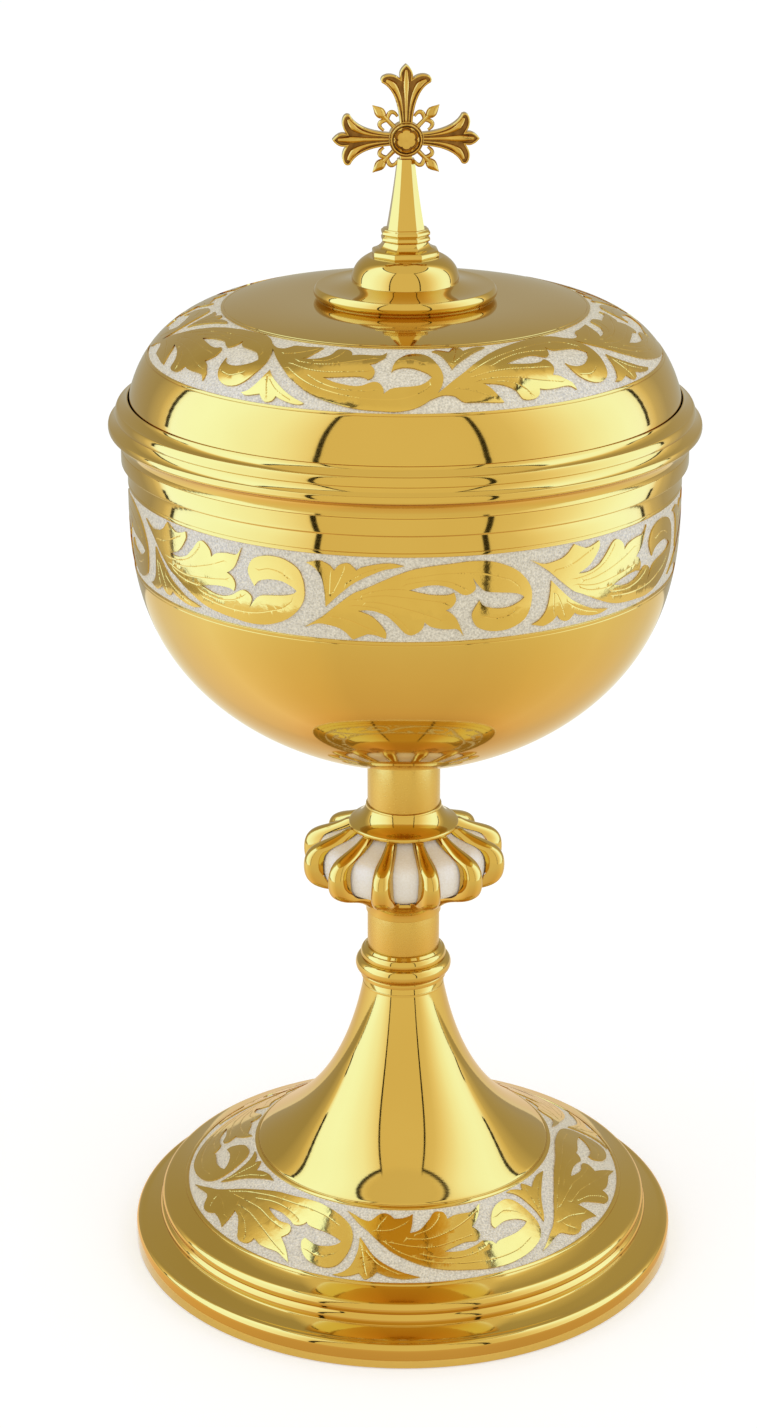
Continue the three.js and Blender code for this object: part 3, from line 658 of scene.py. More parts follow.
def buildCup():
    c = cup
    line = Outline(0, cupBase)
    borderBottom = cupBandBottom - c["border"]
    line.follow(bowlPoints(c["radius"], c["depth"], c["seat"], borderBottom, 44))
    band = cupBandLine()
    line.scored(band[0].x, band[0].y, 0.2)
    line.follow([p - Vector((c["sunk"], 0)) for p in band], silver)
    line.finishes[-len(band)] = gold
    line.to(band[-1].x, band[-1].y)
    line.scored(c["radius"], cupBandTop + c["border"], 0.8)
    line.to(c["radius"], lipBottom + 3.1)
    line.to(c["radius"] + c["lipProud"], lipBottom + 3.6)
    line.to(c["radius"] + c["lipProud"], lipTop)
    mouth = c["radius"] - c["wall"]
    line.to(mouth, lipTop)
    innerDepth = c["depth"] - c["wall"]
    floor = cupBase + c["plate"]
    floorRadius = bowlRadius(floor, mouth, innerDepth)
    line.follow(bowlPoints(mouth, innerDepth, floorRadius, bowlTop, 30)[::-1])
    line.to(0, floor)
    bowl = turned("cup_bowl_dressed", line, [polishedGold, mattSilver], sides=180)
    place(bowl, "stand", "polished_gold", "cup_bowl")


buildCup()
print("cup turned")


# lid

lid = dict(
    inset=0.7, wall=1.0, gap=0.3, leanIn=5.4, wallHandle=21.9, crownHandle=15.8,
    bandInset=4.3, bandAcross=16.0, border=1.0, sunk=0.3,
    rimProud=2.85,
    bossFoot=15.5, bossStep=0.1, flange=19.8, flangeTop=2.8, waist=11.5, bossTopRadius=8.2,
    studBore=2.3,
)
domeRadius = cup["radius"] - lid["inset"]
lidBandOuter = domeRadius - lid["bandInset"]
lidBandInner = lidBandOuter - lid["bandAcross"]
domeStart = rimTop + lid["gap"]


def domePoints(steps):
    line = Outline(domeRadius, domeStart)
    wallHandle = (domeRadius - lid["leanIn"], domeStart + lid["wallHandle"])
    crownHandle = (lid["bossFoot"] + lid["crownHandle"], lidTop)
    return line.curve(wallHandle, crownHandle, (lid["bossFoot"], lidTop), steps).points


def domeBetween(outerRadius, innerRadius, steps=120):
    # the dome's line between two radii, with its ends exactly on them
    points = domePoints(steps)
    kept = []
    for before, after in zip(points, points[1:]):
        for edge in (outerRadius, innerRadius):
            if before.x >= edge > after.x:
                share = (before.x - edge) / (before.x - after.x)
                kept.append(before.lerp(after, share))
        if innerRadius < after.x < outerRadius:
            kept.append(after)
    return kept


def buildLid():
    l, c = lid, cup
    line = Outline(domeRadius, lipTop).to(domeRadius, domeStart)
    outerBorder = lidBandOuter + 0.55 * l["border"]
    innerBorder = lidBandInner - l["border"]
    line.follow(domeBetween(domeRadius - 0.02, outerBorder, 60)[1:])
    band = domeBetween(lidBandOuter, lidBandInner, 60)
    line.scored(band[0].x, band[0].y, 0.35)
    sunkBand = offsetPoints(band, l["sunk"])
    line.follow(sunkBand[:1])
    line.follow(sunkBand[1:], silver)
    line.to(band[-1].x, band[-1].y)
    crown = domeBetween(innerBorder, l["bossFoot"] + 0.02, 60)
    line.scored(crown[0].x, crown[0].y, 0.7)
    line.follow(crown[1:])
    line.to(l["bossFoot"], lidTop).to(l["studBore"], lidTop).to(l["studBore"], lidTop - l["wall"])
    inside = offsetPoints(domePoints(22), l["wall"])
    line.follow(inside[::-1])
    line.to(domeRadius - l["wall"], lipTop)
    dome = turned("lid_dome_dressed", line, [polishedGold, mattSilver], sides=180)
    place(dome, "lid", "polished_gold", "lid_dome")

    bore = domeRadius + l["gap"]
    lipRadius = c["radius"] + c["lipProud"]
    widest = lipRadius + l["rimProud"]
    line = Outline(bore, lipTop).to(lipRadius, lipTop).by(0, 0.9)
    line.bow(widest - 0.45, lipTop + 3.7, -0.5)
    line.bead(widest - 0.5, lipTop + 5.2, 0.28)
    line.bow(widest - 1.9, lipTop + 6.7, -0.15)
    line.bead(widest - 2.45, lipTop + 8.7, 0.35)
    line.bow(bore + 0.4, lipTop + 10.0, -0.12)
    line.to(bore + 0.25, rimTop).to(bore, rimTop)
    rim = turned("lid_rim_dressed", line, [polishedGold], sides=180, cut=0.12)
    place(rim, "lid", "polished_gold", "lid_rim")

    # its edge comes down on the crown, which falls away a little from the seat
    seatEdge = domeBetween(l["flange"] - 0.8, l["bossFoot"])[0]
    line = Outline(l["studBore"], lidTop).to(l["bossFoot"], lidTop).to(seatEdge.x, seatEdge.y + 0.02)
    line.by(0, l["bossStep"])
    line.bow(l["flange"] - 0.5, lidTop + l["flangeTop"], 0.75, 12)
    line.bow(l["waist"] + 0.2, line.end.y + 0.9, -0.35)
    line.bow(l["bossTopRadius"], bossTop, 1.0, 16)
    line.to(l["studBore"], bossTop)
    boss = turned("finial_boss_dressed", line, [polishedGold], sides=120)
    place(boss, "lid", "polished_gold", "finial_boss")


buildLid()
print("lid turned")


# leafwork on the three bands
# each leaf is drawn flat in mm, x along the band and y up from its lower border;
# a stroke is a smooth curve and the leaf has a corner where two strokes meet

cupLeaf = dict(
    unit=47.7, height=18.5,
    leaf=[
        [(1.2, 2.3), (5.0, 4.9), (8.0, 7.5), (11.7, 10.5), (14.3, 11.7), (17.7, 13.4), (21.3, 15.0),
         (24.7, 16.1), (28.7, 16.7), (32.0, 17.0), (35.3, 17.3), (38.3, 17.2), (40.7, 16.8),
         (43.0, 16.0), (45.0, 15.0), (46.7, 13.7), (48.2, 11.9), (49.1, 9.9), (49.2, 7.8),
         (48.8, 5.6), (47.6, 3.5), (44.7, 2.0), (41.7, 1.7), (39.3, 2.1), (37.3, 3.1), (36.3, 4.8),
         (36.3, 6.4), (37.7, 8.8)],
        [(37.7, 8.8), (38.4, 7.8), (39.4, 7.2), (41.7, 6.7), (44.3, 6.8), (46.5, 7.7), (47.5, 8.5)],
        [(47.5, 8.5), (46.7, 9.2), (44.7, 9.8), (41.7, 10.2), (39.0, 10.7), (37.5, 12.0), (36.2, 13.8)],
        [(36.2, 13.8), (36.9, 11.8), (36.4, 10.8), (35.2, 10.2), (34.0, 10.4), (32.0, 11.7),
         (30.0, 12.4), (28.3, 12.6), (26.2, 12.4), (23.2, 11.6)],
        [(23.2, 11.6), (25.0, 11.1), (27.3, 10.6), (29.3, 10.4), (31.3, 10.4), (32.4, 10.8)],
        [(32.4, 10.8), (32.8, 9.6), (32.6, 8.6), (31.9, 7.7), (30.7, 7.1)],
        [(30.7, 7.1), (31.7, 6.5), (32.7, 5.5), (33.5, 4.0), (34.6, 1.1)],
        [(34.6, 1.1), (33.7, 2.4), (32.8, 2.9), (31.0, 2.9), (29.0, 3.2), (27.5, 3.7), (26.4, 4.6)],
        [(26.4, 4.6), (26.1, 3.4), (25.2, 2.4), (23.7, 1.7), (22.4, 2.2), (21.3, 3.4), (20.3, 4.5),
         (18.7, 6.0), (17.3, 6.6), (16.0, 7.0), (14.3, 7.1), (12.8, 6.9)],
        [(12.8, 6.9), (14.2, 6.4), (15.7, 5.7), (17.0, 4.5), (18.0, 3.2), (18.6, 2.0), (18.4, 0.9)],
        [(18.4, 0.9), (17.3, 1.3), (16.0, 1.7), (14.7, 1.8)],
        [(14.7, 1.8), (13.3, 1.2), (11.6, 0.4)],
        [(11.6, 0.4), (10.9, 1.1), (10.2, 1.9), (8.8, 2.8), (7.3, 3.2), (6.0, 3.4), (4.7, 3.5),
         (3.3, 3.2), (1.2, 2.3)],
    ],
    trefoil=[
        [(6.0, 7.3), (5.9, 9.5), (5.7, 11.3), (5.3, 13.2), (4.5, 14.7), (3.3, 15.8), (1.9, 16.4)],
        [(1.9, 16.4), (3.3, 16.8), (4.7, 17.1), (5.8, 16.8), (7.0, 16.2), (7.9, 15.2)],
        [(7.9, 15.2), (8.7, 16.3), (10.0, 16.9), (11.2, 16.8), (12.5, 15.5)],
        [(12.5, 15.5), (13.3, 16.1), (15.0, 16.6), (16.7, 17.0), (18.3, 17.2), (20.0, 17.2), (22.2, 16.7)],
        [(22.2, 16.7), (20.0, 16.2), (18.0, 15.8), (15.7, 14.8), (13.3, 13.6), (11.3, 12.3),
         (9.7, 10.9), (8.0, 9.3), (6.0, 7.3)],
    ],
    veins=[
        [(23.3, 14.0), (28.3, 14.7), (31.7, 14.9), (35.0, 14.9), (38.3, 14.5), (41.7, 13.5), (44.3, 12.6),
         (46.3, 11.0)],
        [(22.7, 12.8), (25.0, 13.2), (28.3, 13.5), (32.0, 12.9), (34.7, 11.6)],
        [(13.5, 10.2), (15.5, 11.0), (18.0, 11.5), (20.5, 11.7), (22.4, 11.6)],
        [(12.7, 9.3), (15.3, 10.0), (18.7, 10.3), (22.7, 9.9), (27.0, 9.3), (30.5, 8.7)],
        [(14.3, 8.8), (17.3, 8.7), (20.7, 8.0), (23.3, 7.3), (26.7, 6.2), (30.0, 4.8)],
        [(12.3, 8.0), (15.0, 7.8), (17.7, 7.2), (19.8, 6.2), (21.8, 4.5), (23.0, 3.0)],
        [(7.0, 5.2), (9.5, 5.0), (12.0, 4.3), (14.0, 3.4), (16.5, 2.3)],
        [(39.0, 5.2), (41.3, 4.6), (44.0, 5.0), (45.8, 6.0)],
        [(9.9, 15.6), (8.9, 13.2), (7.6, 10.6)],
        [(7.0, 14.0), (6.9, 12.0), (6.8, 10.0)],
        [(10.2, 12.6), (12.5, 14.2), (15.5, 15.6), (18.5, 16.4)],
    ],
)

lidLeaf = dict(
    unit=37.7, height=19.0,
    leaf=[
        [(-3.6, 16.6), (-1.5, 15.0), (0.0, 13.8), (2.5, 11.5), (4.2, 10.1), (6.2, 8.4), (8.1, 6.8),
         (9.9, 5.6), (11.8, 4.3), (13.8, 3.3), (16.0, 2.4), (18.5, 1.7), (20.9, 1.1), (23.4, 0.7),
         (26.6, 0.5), (29.1, 0.4), (30.8, 0.6), (32.8, 1.2), (34.5, 2.2), (36.5, 4.0), (37.8, 6.0),
         (38.5, 8.5), (38.3, 11.0), (37.5, 13.4), (36.6, 15.0), (35.4, 16.1), (33.7, 16.6),
         (32.0, 16.4), (30.5, 15.6), (29.3, 14.3), (28.6, 12.7), (28.2, 10.2)],
        [(28.2, 10.2), (28.6, 10.9), (29.6, 11.5), (30.8, 11.8), (32.5, 11.6), (34.0, 10.9),
         (35.5, 9.9), (36.3, 8.8)],
        [(36.3, 8.8), (35.5, 7.8), (34.0, 6.7), (32.0, 6.3), (30.0, 6.1), (28.3, 5.7), (27.1, 4.4)],
        [(27.1, 4.4), (27.0, 5.6), (26.2, 7.0), (25.3, 7.4), (24.4, 7.2), (22.8, 6.3), (21.4, 6.1),
         (19.7, 6.3), (17.7, 6.7), (16.0, 7.3), (14.8, 7.8)],
        [(14.8, 7.8), (16.7, 8.1), (18.7, 8.4), (20.9, 8.7), (22.8, 8.6), (23.8, 8.0)],
        [(23.8, 8.0), (24.6, 8.6), (24.9, 10.1), (24.5, 11.3), (23.4, 12.6)],
        [(23.4, 12.6), (24.6, 13.1), (25.6, 14.2), (26.6, 15.3), (26.8, 17.0)],
        [(26.8, 17.0), (25.9, 16.0), (24.6, 15.7), (22.2, 15.8), (20.2, 15.7), (19.0, 15.3)],
        [(19.0, 15.3), (18.6, 16.5), (17.6, 17.3), (16.2, 17.5), (14.9, 17.1), (14.2, 15.1),
         (13.1, 14.0), (11.6, 13.2), (9.9, 12.8), (8.2, 12.6)],
        [(8.2, 12.6), (9.2, 13.5), (10.1, 15.1), (11.2, 17.4)],
        [(11.2, 17.4), (10.3, 17.4), (8.6, 17.2), (6.9, 17.0), (4.9, 16.9), (3.7, 16.7), (2.5, 15.4),
         (1.5, 15.0), (0.0, 15.0), (-1.8, 15.8), (-3.6, 16.6)],
    ],
    trefoil=[
        [(3.0, 8.1), (3.8, 7.1), (5.2, 5.8), (6.9, 4.5), (8.6, 3.3), (10.3, 2.3), (12.8, 1.2)],
        [(12.8, 1.2), (12.1, 0.8), (10.8, 0.8), (9.4, 1.1), (8.1, 1.5), (7.0, 2.0)],
        [(7.0, 2.0), (6.6, 0.9), (5.4, 0.4), (4.4, 1.0), (3.6, 2.0)],
        [(3.6, 2.0), (2.7, 1.7), (1.5, 1.3), (0.4, 1.2), (-0.4, 1.6)],
        [(-0.4, 1.6), (0.7, 2.2), (1.5, 3.4), (2.1, 4.8), (2.6, 6.6), (3.0, 8.1)],
    ],
    veins=[
        [(6.5, 9.4), (10.0, 7.1), (13.5, 5.4), (17.5, 4.2), (21.5, 3.4), (25.5, 3.0), (30.0, 3.2),
         (33.5, 4.5), (35.8, 6.6)],
        [(11.5, 8.0), (15.0, 6.2), (19.0, 5.1), (23.0, 5.0), (25.6, 5.4)],
        [(7.0, 10.6), (11.0, 9.6), (15.0, 9.4), (19.0, 9.8), (23.0, 10.3)],
        [(8.0, 11.6), (12.0, 11.4), (16.0, 12.0), (20.0, 13.3), (24.5, 14.6)],
        [(11.0, 12.4), (13.8, 12.8), (15.8, 14.4), (16.8, 16.2)],
        [(3.0, 13.4), (5.5, 14.0), (8.0, 15.2), (9.8, 16.3)],
        [(30.0, 13.8), (32.5, 14.2), (35.0, 13.0)],
        [(3.3, 6.4), (4.2, 4.2), (5.2, 1.8)],
        [(4.3, 5.7), (6.8, 3.4), (10.0, 1.7)],
    ],
)

footLeaf = dict(
    unit=45.4, height=18.8,
    leaf=[
        [(-2.3, 17.2), (0.0, 15.6), (2.0, 14.2), (4.3, 12.8), (6.3, 11.2), (8.0, 9.8), (10.0, 8.2),
         (11.7, 7.1), (13.3, 6.2), (16.0, 4.8), (18.7, 3.7), (21.3, 2.9), (24.0, 2.4), (26.7, 2.0),
         (29.3, 1.6), (32.0, 1.4), (34.7, 1.4), (37.7, 1.9), (40.0, 2.5), (42.7, 3.6), (44.7, 4.9),
         (46.1, 6.7), (46.7, 9.0), (46.5, 11.7), (45.8, 14.1), (44.8, 15.8), (43.3, 16.7), (41.7, 16.8),
         (39.7, 16.4), (38.0, 15.6), (36.7, 14.4), (35.7, 12.9), (35.3, 11.7), (35.7, 10.8)],
        [(35.7, 10.8), (37.3, 11.4), (39.3, 11.8), (41.7, 11.4), (43.4, 10.6), (44.2, 9.7)],
        [(44.2, 9.7), (43.0, 9.0), (40.0, 8.1), (36.7, 7.8), (34.8, 7.5), (34.0, 6.9)],
        [(34.0, 6.9), (33.6, 7.6), (32.8, 8.2), (31.3, 8.6), (30.0, 8.0), (28.3, 7.5), (26.7, 7.1),
         (24.0, 7.1), (22.2, 7.4)],
        [(22.2, 7.4), (23.0, 7.8), (25.0, 8.5), (27.3, 9.1), (29.7, 8.9)],
        [(29.7, 8.9), (30.7, 9.2), (31.4, 10.2), (31.3, 11.3), (30.3, 12.6)],
        [(30.3, 12.6), (31.3, 13.4), (32.7, 14.7), (34.0, 16.3), (35.0, 17.9)],
        [(35.0, 17.9), (32.8, 16.8), (31.3, 16.3), (29.0, 16.4), (26.7, 16.3), (24.7, 15.6)],
        [(24.7, 15.6), (24.6, 16.4), (24.1, 17.4), (23.0, 17.8), (21.8, 17.8), (20.9, 17.2),
         (20.1, 16.2), (19.3, 15.4), (18.0, 14.1), (16.7, 13.2), (14.7, 12.7)],
        [(14.7, 12.7), (15.2, 14.2), (15.5, 15.8), (15.7, 17.6)],
        [(15.7, 17.6), (14.7, 17.1), (12.7, 16.5), (10.7, 16.4)],
        [(10.7, 16.4), (9.7, 17.2), (8.3, 17.7), (7.0, 17.5), (6.0, 16.8), (5.0, 15.8), (4.0, 15.3),
         (2.0, 15.7), (0.0, 16.5), (-2.3, 17.2)],
    ],
    trefoil=[
        [(2.8, 11.0), (4.0, 9.8), (5.3, 8.2), (6.7, 6.6), (8.7, 5.0), (11.0, 3.6), (13.3, 2.5), (16.3, 1.4)],
        [(16.3, 1.4), (14.7, 1.1), (12.7, 1.0), (10.3, 1.5), (9.0, 2.0), (7.8, 2.6)],
        [(7.8, 2.6), (7.0, 1.4), (5.7, 0.4)],
        [(5.7, 0.4), (5.0, 1.0), (4.3, 1.9)],
        [(4.3, 1.9), (2.7, 1.0), (0.8, 0.5), (-0.7, 0.6)],
        [(-0.7, 0.6), (1.0, 1.6), (2.2, 3.2), (2.8, 5.3), (3.1, 8.0), (2.8, 11.0)],
    ],
    veins=[
        [(8.5, 10.4), (12.0, 7.9), (16.0, 6.1), (20.0, 4.8), (24.0, 4.1), (28.0, 3.7), (33.0, 3.5),
         (38.0, 4.1), (42.0, 5.6)],
        [(17.0, 7.2), (21.0, 5.9), (25.0, 5.5), (29.0, 6.0), (31.8, 7.0)],
        [(10.0, 10.2), (15.0, 9.2), (20.0, 8.8), (25.0, 9.8), (29.5, 10.6)],
        [(14.0, 11.2), (19.0, 11.0), (24.0, 12.3), (29.0, 14.3), (33.0, 16.2)],
        [(16.0, 12.2), (19.5, 13.4), (22.0, 15.5), (22.8, 16.8)],
        [(6.0, 13.0), (10.0, 13.4), (13.8, 15.2)],
        [(7.0, 14.5), (8.2, 16.2)],
        [(37.5, 13.6), (40.5, 14.3), (43.5, 13.0)],
        [(3.6, 9.0), (4.6, 5.5), (5.6, 2.0)],
        [(5.0, 7.4), (8.0, 4.4), (12.0, 2.2)],
    ],
)

leafwork = dict(
    proud=0.02, sinkIn=0.5, edgeDrop=0.006, edgeWidth=0.3, veinHalf=0.17, veinDepth=0.07, dotPitch=0.62,
    stepLength=0.75, grid=1.7,
    # how far the surface's own points keep from the leaf's edge and from its veins
    veinEdgeGap=0.25, rowEdgeGap=0.8, rowVeinGap=0.3, gridEdgeGap=0.8, gridVeinGap=0.45,
)


def smoothThrough(points, step):
    # a curve through all the points, in short steps
    line = []
    count = len(points)
    for i in range(count - 1):
        before = Vector(points[max(i - 1, 0)])
        a, b = Vector(points[i]), Vector(points[i + 1])
        after = Vector(points[min(i + 2, count - 1)])
        pieces = max(2, round((b - a).length / step))
        for k in range(pieces):
            t = k / pieces
            curve = 2 * a + (b - before) * t + (2 * before - 5 * a + 4 * b - after) * t * t
            line.append((curve + (3 * a - before - 3 * b + after) * t ** 3) / 2)
    line.append(Vector(points[-1]))
    return line


def closedStrokes(strokes, step):
    ring = []
    for stroke in strokes:
        ring += smoothThrough(stroke, step)[:-1]
    return ring


def distanceTo(point, lines):
    # nearest distance to some lines, and how far along the line it is
    best, along = 1e9, 0
    for line in lines:
        run = 0
        for a, b in zip(line, line[1:]):
            way = b - a
            t = min(max((point - a).dot(way) / max(way.length_squared, 1e-9), 0), 1)
            gap = (a + way * t - point).length
            if gap < best:
                best, along = gap, run + way.length * t
            run += way.length
    return best, along


def insideRing(point, ring):
    inside = False
    for a, b in zip(ring, ring[1:] + ring[:1]):
        if (a.y > point.y) != (b.y > point.y):
            if point.x < a.x + (point.y - a.y) * (b.x - a.x) / (b.y - a.y):
                inside = not inside
    return inside


def leafMesh(strokes, veins):
    # one flat leaf: outline, surface points with their depth below the top, and its triangles
    w = leafwork
    ring = closedStrokes(strokes, w["stepLength"])
    if sum(a.cross(b) for a, b in zip(ring, ring[1:] + ring[:1])) < 0:
        ring.reverse()
    border = [ring + ring[:1]]
    own = [v for v in veins if insideRing(Vector(v[len(v) // 2]), ring)]
    lines = [smoothThrough(v, 0.3) for v in own]
    points, edges = list(ring), []
    for line in lines:
        for shift in (-w["veinHalf"], 0, w["veinHalf"]):
            first = len(points)
            side = offsetPoints(line, shift)
            kept = [p for p in side if insideRing(p, ring) and distanceTo(p, border)[0] > w["veinEdgeGap"]]
            points += kept
            edges += [(first + k, first + k + 1) for k in range(len(kept) - 1) if shift == 0]
    for i, point in enumerate(ring):
        way = ring[(i + 1) % len(ring)] - ring[i - 1]
        inner = point - rightOf(way) * w["edgeWidth"]
        if insideRing(inner, ring) and distanceTo(inner, border)[0] > w["rowEdgeGap"] * w["edgeWidth"]:
            if distanceTo(inner, lines)[0] > w["rowVeinGap"]:
                points.append(inner)
    low = [min(p[k] for p in ring) for k in (0, 1)]
    high = [max(p[k] for p in ring) for k in (0, 1)]
    row = 0
    y = low[1]
    while y < high[1]:
        x = low[0] + (row % 2) * w["grid"] / 2
        while x < high[0]:
            point = Vector((x, y))
            if insideRing(point, ring) and distanceTo(point, border)[0] > w["gridEdgeGap"]:
                if distanceTo(point, lines)[0] > w["gridVeinGap"]:
                    points.append(point)
            x += w["grid"]
        y += w["grid"] * 0.87
        row += 1
    flat = geometry.delaunay_2d_cdt(points, edges, [list(range(len(ring)))], 1, 1e-5)
    surface, triangles = [Vector(p) for p in flat[0]], flat[2]
    depths = []
    for point in surface:
        toEdge = distanceTo(point, border)[0]
        depth = w["edgeDrop"] * max(0, 1 - toEdge / w["edgeWidth"]) ** 2
        toVein, along = distanceTo(point, lines)
        if toVein < w["veinHalf"]:
            dots = 0.62 + 0.38 * math.cos(2 * math.pi * along / w["dotPitch"])
            depth += w["veinDepth"] * (1 - toVein / w["veinHalf"]) * dots
        depths.append(depth)
    return surface, depths, triangles


def boundaryLoop(triangles):
    # directed edges that only one triangle uses, as pairs
    used = set()
    for tri in triangles:
        for k in range(len(tri)):
            used.add((tri[k], tri[(k + 1) % len(tri)]))
    return [(a, b) for a, b in used if (b, a) not in used]


def bandMap(line, height, unit, unitAngle, startAngle, flipped):
    # a function from a flat point and its depth to a place on the band
    lengths = [0]
    for a, b in zip(line, line[1:]):
        lengths.append(lengths[-1] + (b - a).length)

    def mapped(point, depth):
        share = min(max(point.y / height, 0), 1)
        share = 1 - share if flipped else share
        target = share * lengths[-1]
        k = next((i for i in range(1, len(lengths)) if lengths[i] >= target), len(lengths) - 1)
        part = (target - lengths[k - 1]) / (lengths[k] - lengths[k - 1])
        spot = line[k - 1].lerp(line[k], part)
        normal = rightOf(line[min(k + 1, len(line) - 1)] - line[max(k - 2, 0)])
        spot = spot - normal * depth
        angle = math.radians(startAngle + point.x / unit * unitAngle)
        return (spot.x * math.sin(angle), -spot.x * math.cos(angle), spot.y)

    return mapped


def leafBand(name, drawing, line, units, firstAngle, upFirst, drawnUp, body):
    w = leafwork
    parts = [leafMesh(drawing["leaf"], drawing["veins"]), leafMesh(drawing["trefoil"], drawing["veins"])]
    verts, faces = [], []
    for unit in range(units):
        isUp = (unit % 2 == 0) == upFirst
        flipped = isUp != drawnUp
        start = firstAngle + unit * 360 / units
        mapped = bandMap(line, drawing["height"], drawing["unit"], 360 / units, start, flipped)
        for surface, depths, triangles in parts:
            first = len(verts)
            count = len(surface)
            verts += [mapped(p, d - w["proud"]) for p, d in zip(surface, depths)]
            verts += [mapped(p, w["sinkIn"]) for p in surface]
            for tri in triangles:
                top = [first + v for v in tri]
                under = [first + count + v for v in tri][::-1]
                faces += [top[::-1] if flipped else top, under[::-1] if flipped else under]
            for a, b in boundaryLoop(triangles):
                wall = [first + b, first + a, first + count + a, first + count + b]
                faces.append(wall[::-1] if flipped else wall)
    piece = meshObject(name, verts, faces, [leafGold], None, 9)
    return place(piece, body, "polished_gold")


def footBandLine():
    line = baseOutline(0, 4)
    start = line.points[-3].copy()
    end = line.points[-2].copy()
    return [start.lerp(end, i / 6) for i in range(7)]


leafBand("cup_leafwork", cupLeaf, cupBandLine(24), 8, -26, True, True, "stand")
leafBand("lid_leafwork", lidLeaf, domeBetween(lidBandOuter, lidBandInner, 90), 8, -42, False, False, "lid")
leafBand("foot_leafwork", footLeaf, footBandLine(), 6, -22, False, False, "stand")
print("leafwork laid on the bands")


# finial and cross

finial = dict(
    plate=7.6, plateHeight=1.1, neck=5.05, bead=5.55, beadStep=1.3, grip=4.0,
    shaftFoot=3.9, shaftTop=1.8, chamfer=0.45,
)


def buildPedestal():
    p = finial
    line = Outline(lid["studBore"], bossTop).to(p["plate"], bossTop).by(0, p["plateHeight"])
    line.by(-0.35, 0.3)
    line.bow(p["neck"], pedestalTop - 2.1 * p["beadStep"], -0.35, 5)
    for _ in range(2):
        line.to(p["bead"], line.end.y + 0.3 * p["beadStep"]).by(0, 0.4 * p["beadStep"])
        line.to(p["neck"], line.end.y + 0.3 * p["beadStep"])
    line.to(p["neck"], pedestalTop).to(0, pedestalTop)
    line.to(0, bossTop + p["grip"] + lid["gap"])
    line.to(lid["studBore"], line.end.y)
    points = [(q.x, q.y) for q in line.points]
    mesh = bmesh.new()
    rings = []
    for radius, height in points:
        if radius < 1e-6:
            rings.append([mesh.verts.new((0, 0, height))] * 8)
            continue
        ring = []
        for k in range(8):
            angle = math.pi / 8 + k * math.pi / 4
            ring.append(mesh.verts.new((radius * math.cos(angle), radius * math.sin(angle), height)))
        rings.append(ring)
    for i, ring in enumerate(rings):
        after = rings[(i + 1) % len(rings)]
        for k in range(8):
            j = (k + 1) % 8
            corners = list(dict.fromkeys([ring[k], ring[j], after[j], after[k]]))
            if len(corners) > 2:
                mesh.faces.new(corners)
    bmesh.ops.recalc_face_normals(mesh, faces=mesh.faces)
    roundEdges(mesh, 0.12, 25)
    piece = fromBmesh("cross_pedestal_dressed", mesh, [polishedGold], 34)
    place(piece, "lid", "polished_gold", "cross_pedestal")


def roundEdges(mesh, width, fromAngle, segments=2):
    sharp = [e for e in mesh.edges if len(e.link_faces) == 2
             and e.calc_face_angle(0) > math.radians(fromAngle)]
    bmesh.ops.bevel(mesh, geom=sharp, offset=width, segments=segments, profile=0.5, affect="EDGES",
                    clamp_overlap=True)


def cutSquare(half):
    flat = half * (1 - 2 * finial["chamfer"] * 0.52)
    corners = []
    for turn in range(4):
        for side in (-flat, flat):
            corners.append(Matrix.Rotation(turn * math.pi / 2, 2) @ Vector((half, side)))
    return corners


def buildShaft():
    p = finial
    mesh = bmesh.new()
    rings = []
    steps = 8
    for i in range(steps + 1):
        share = i / steps
        # straight taper that draws in a little above its foot
        eased = share + 0.22 * share * (1 - share)
        half = p["shaftFoot"] + (p["shaftTop"] - p["shaftFoot"]) * eased
        height = pedestalTop + (crossFoot - pedestalTop) * share
        rings.append([mesh.verts.new((c.x, c.y, height)) for c in cutSquare(half)])
    for ring, after in zip(rings, rings[1:]):
        for k in range(8):
            j = (k + 1) % 8
            mesh.faces.new((ring[k], ring[j], after[j], after[k]))
    mesh.faces.new(rings[0][::-1])
    mesh.faces.new(rings[-1])
    roundEdges(mesh, 0.14, 25)
    piece = fromBmesh("cross_shaft_dressed", mesh, [polishedGold], 30)
    place(piece, "lid", "polished_gold", "cross_shaft")


buildPedestal()
buildShaft()

cross = dict(
    arm=15.7, rootHalf=1.3, lobeReach=5.3, lobeHeight=11.9, notchHalf=1.3, notchHeight=12.7,
    thick=2.2, rim=0.36, field=0.62, fluteRise=0.85, footDrop=4.2, hub=3.7,
    middleFlute=[0.25, 0.38, 0.5, 0.8, 0.4], sideFlute=[0.18, 0.28, 0.5, 0.85, 0.5],
    spray=10.2, sprayThick=1.5, sunkRings=(2, 7, 8, 12),
)


def bezier(a, b, c, d, steps):
    line = Outline(*a)
    return line.curve(b, c, d, steps).points


def quadratic(a, b, c, steps):
    a, b, c = Vector(a), Vector(b), Vector(c)
    return bezier(a, a.lerp(b, 2 / 3), c.lerp(b, 2 / 3), c, steps)


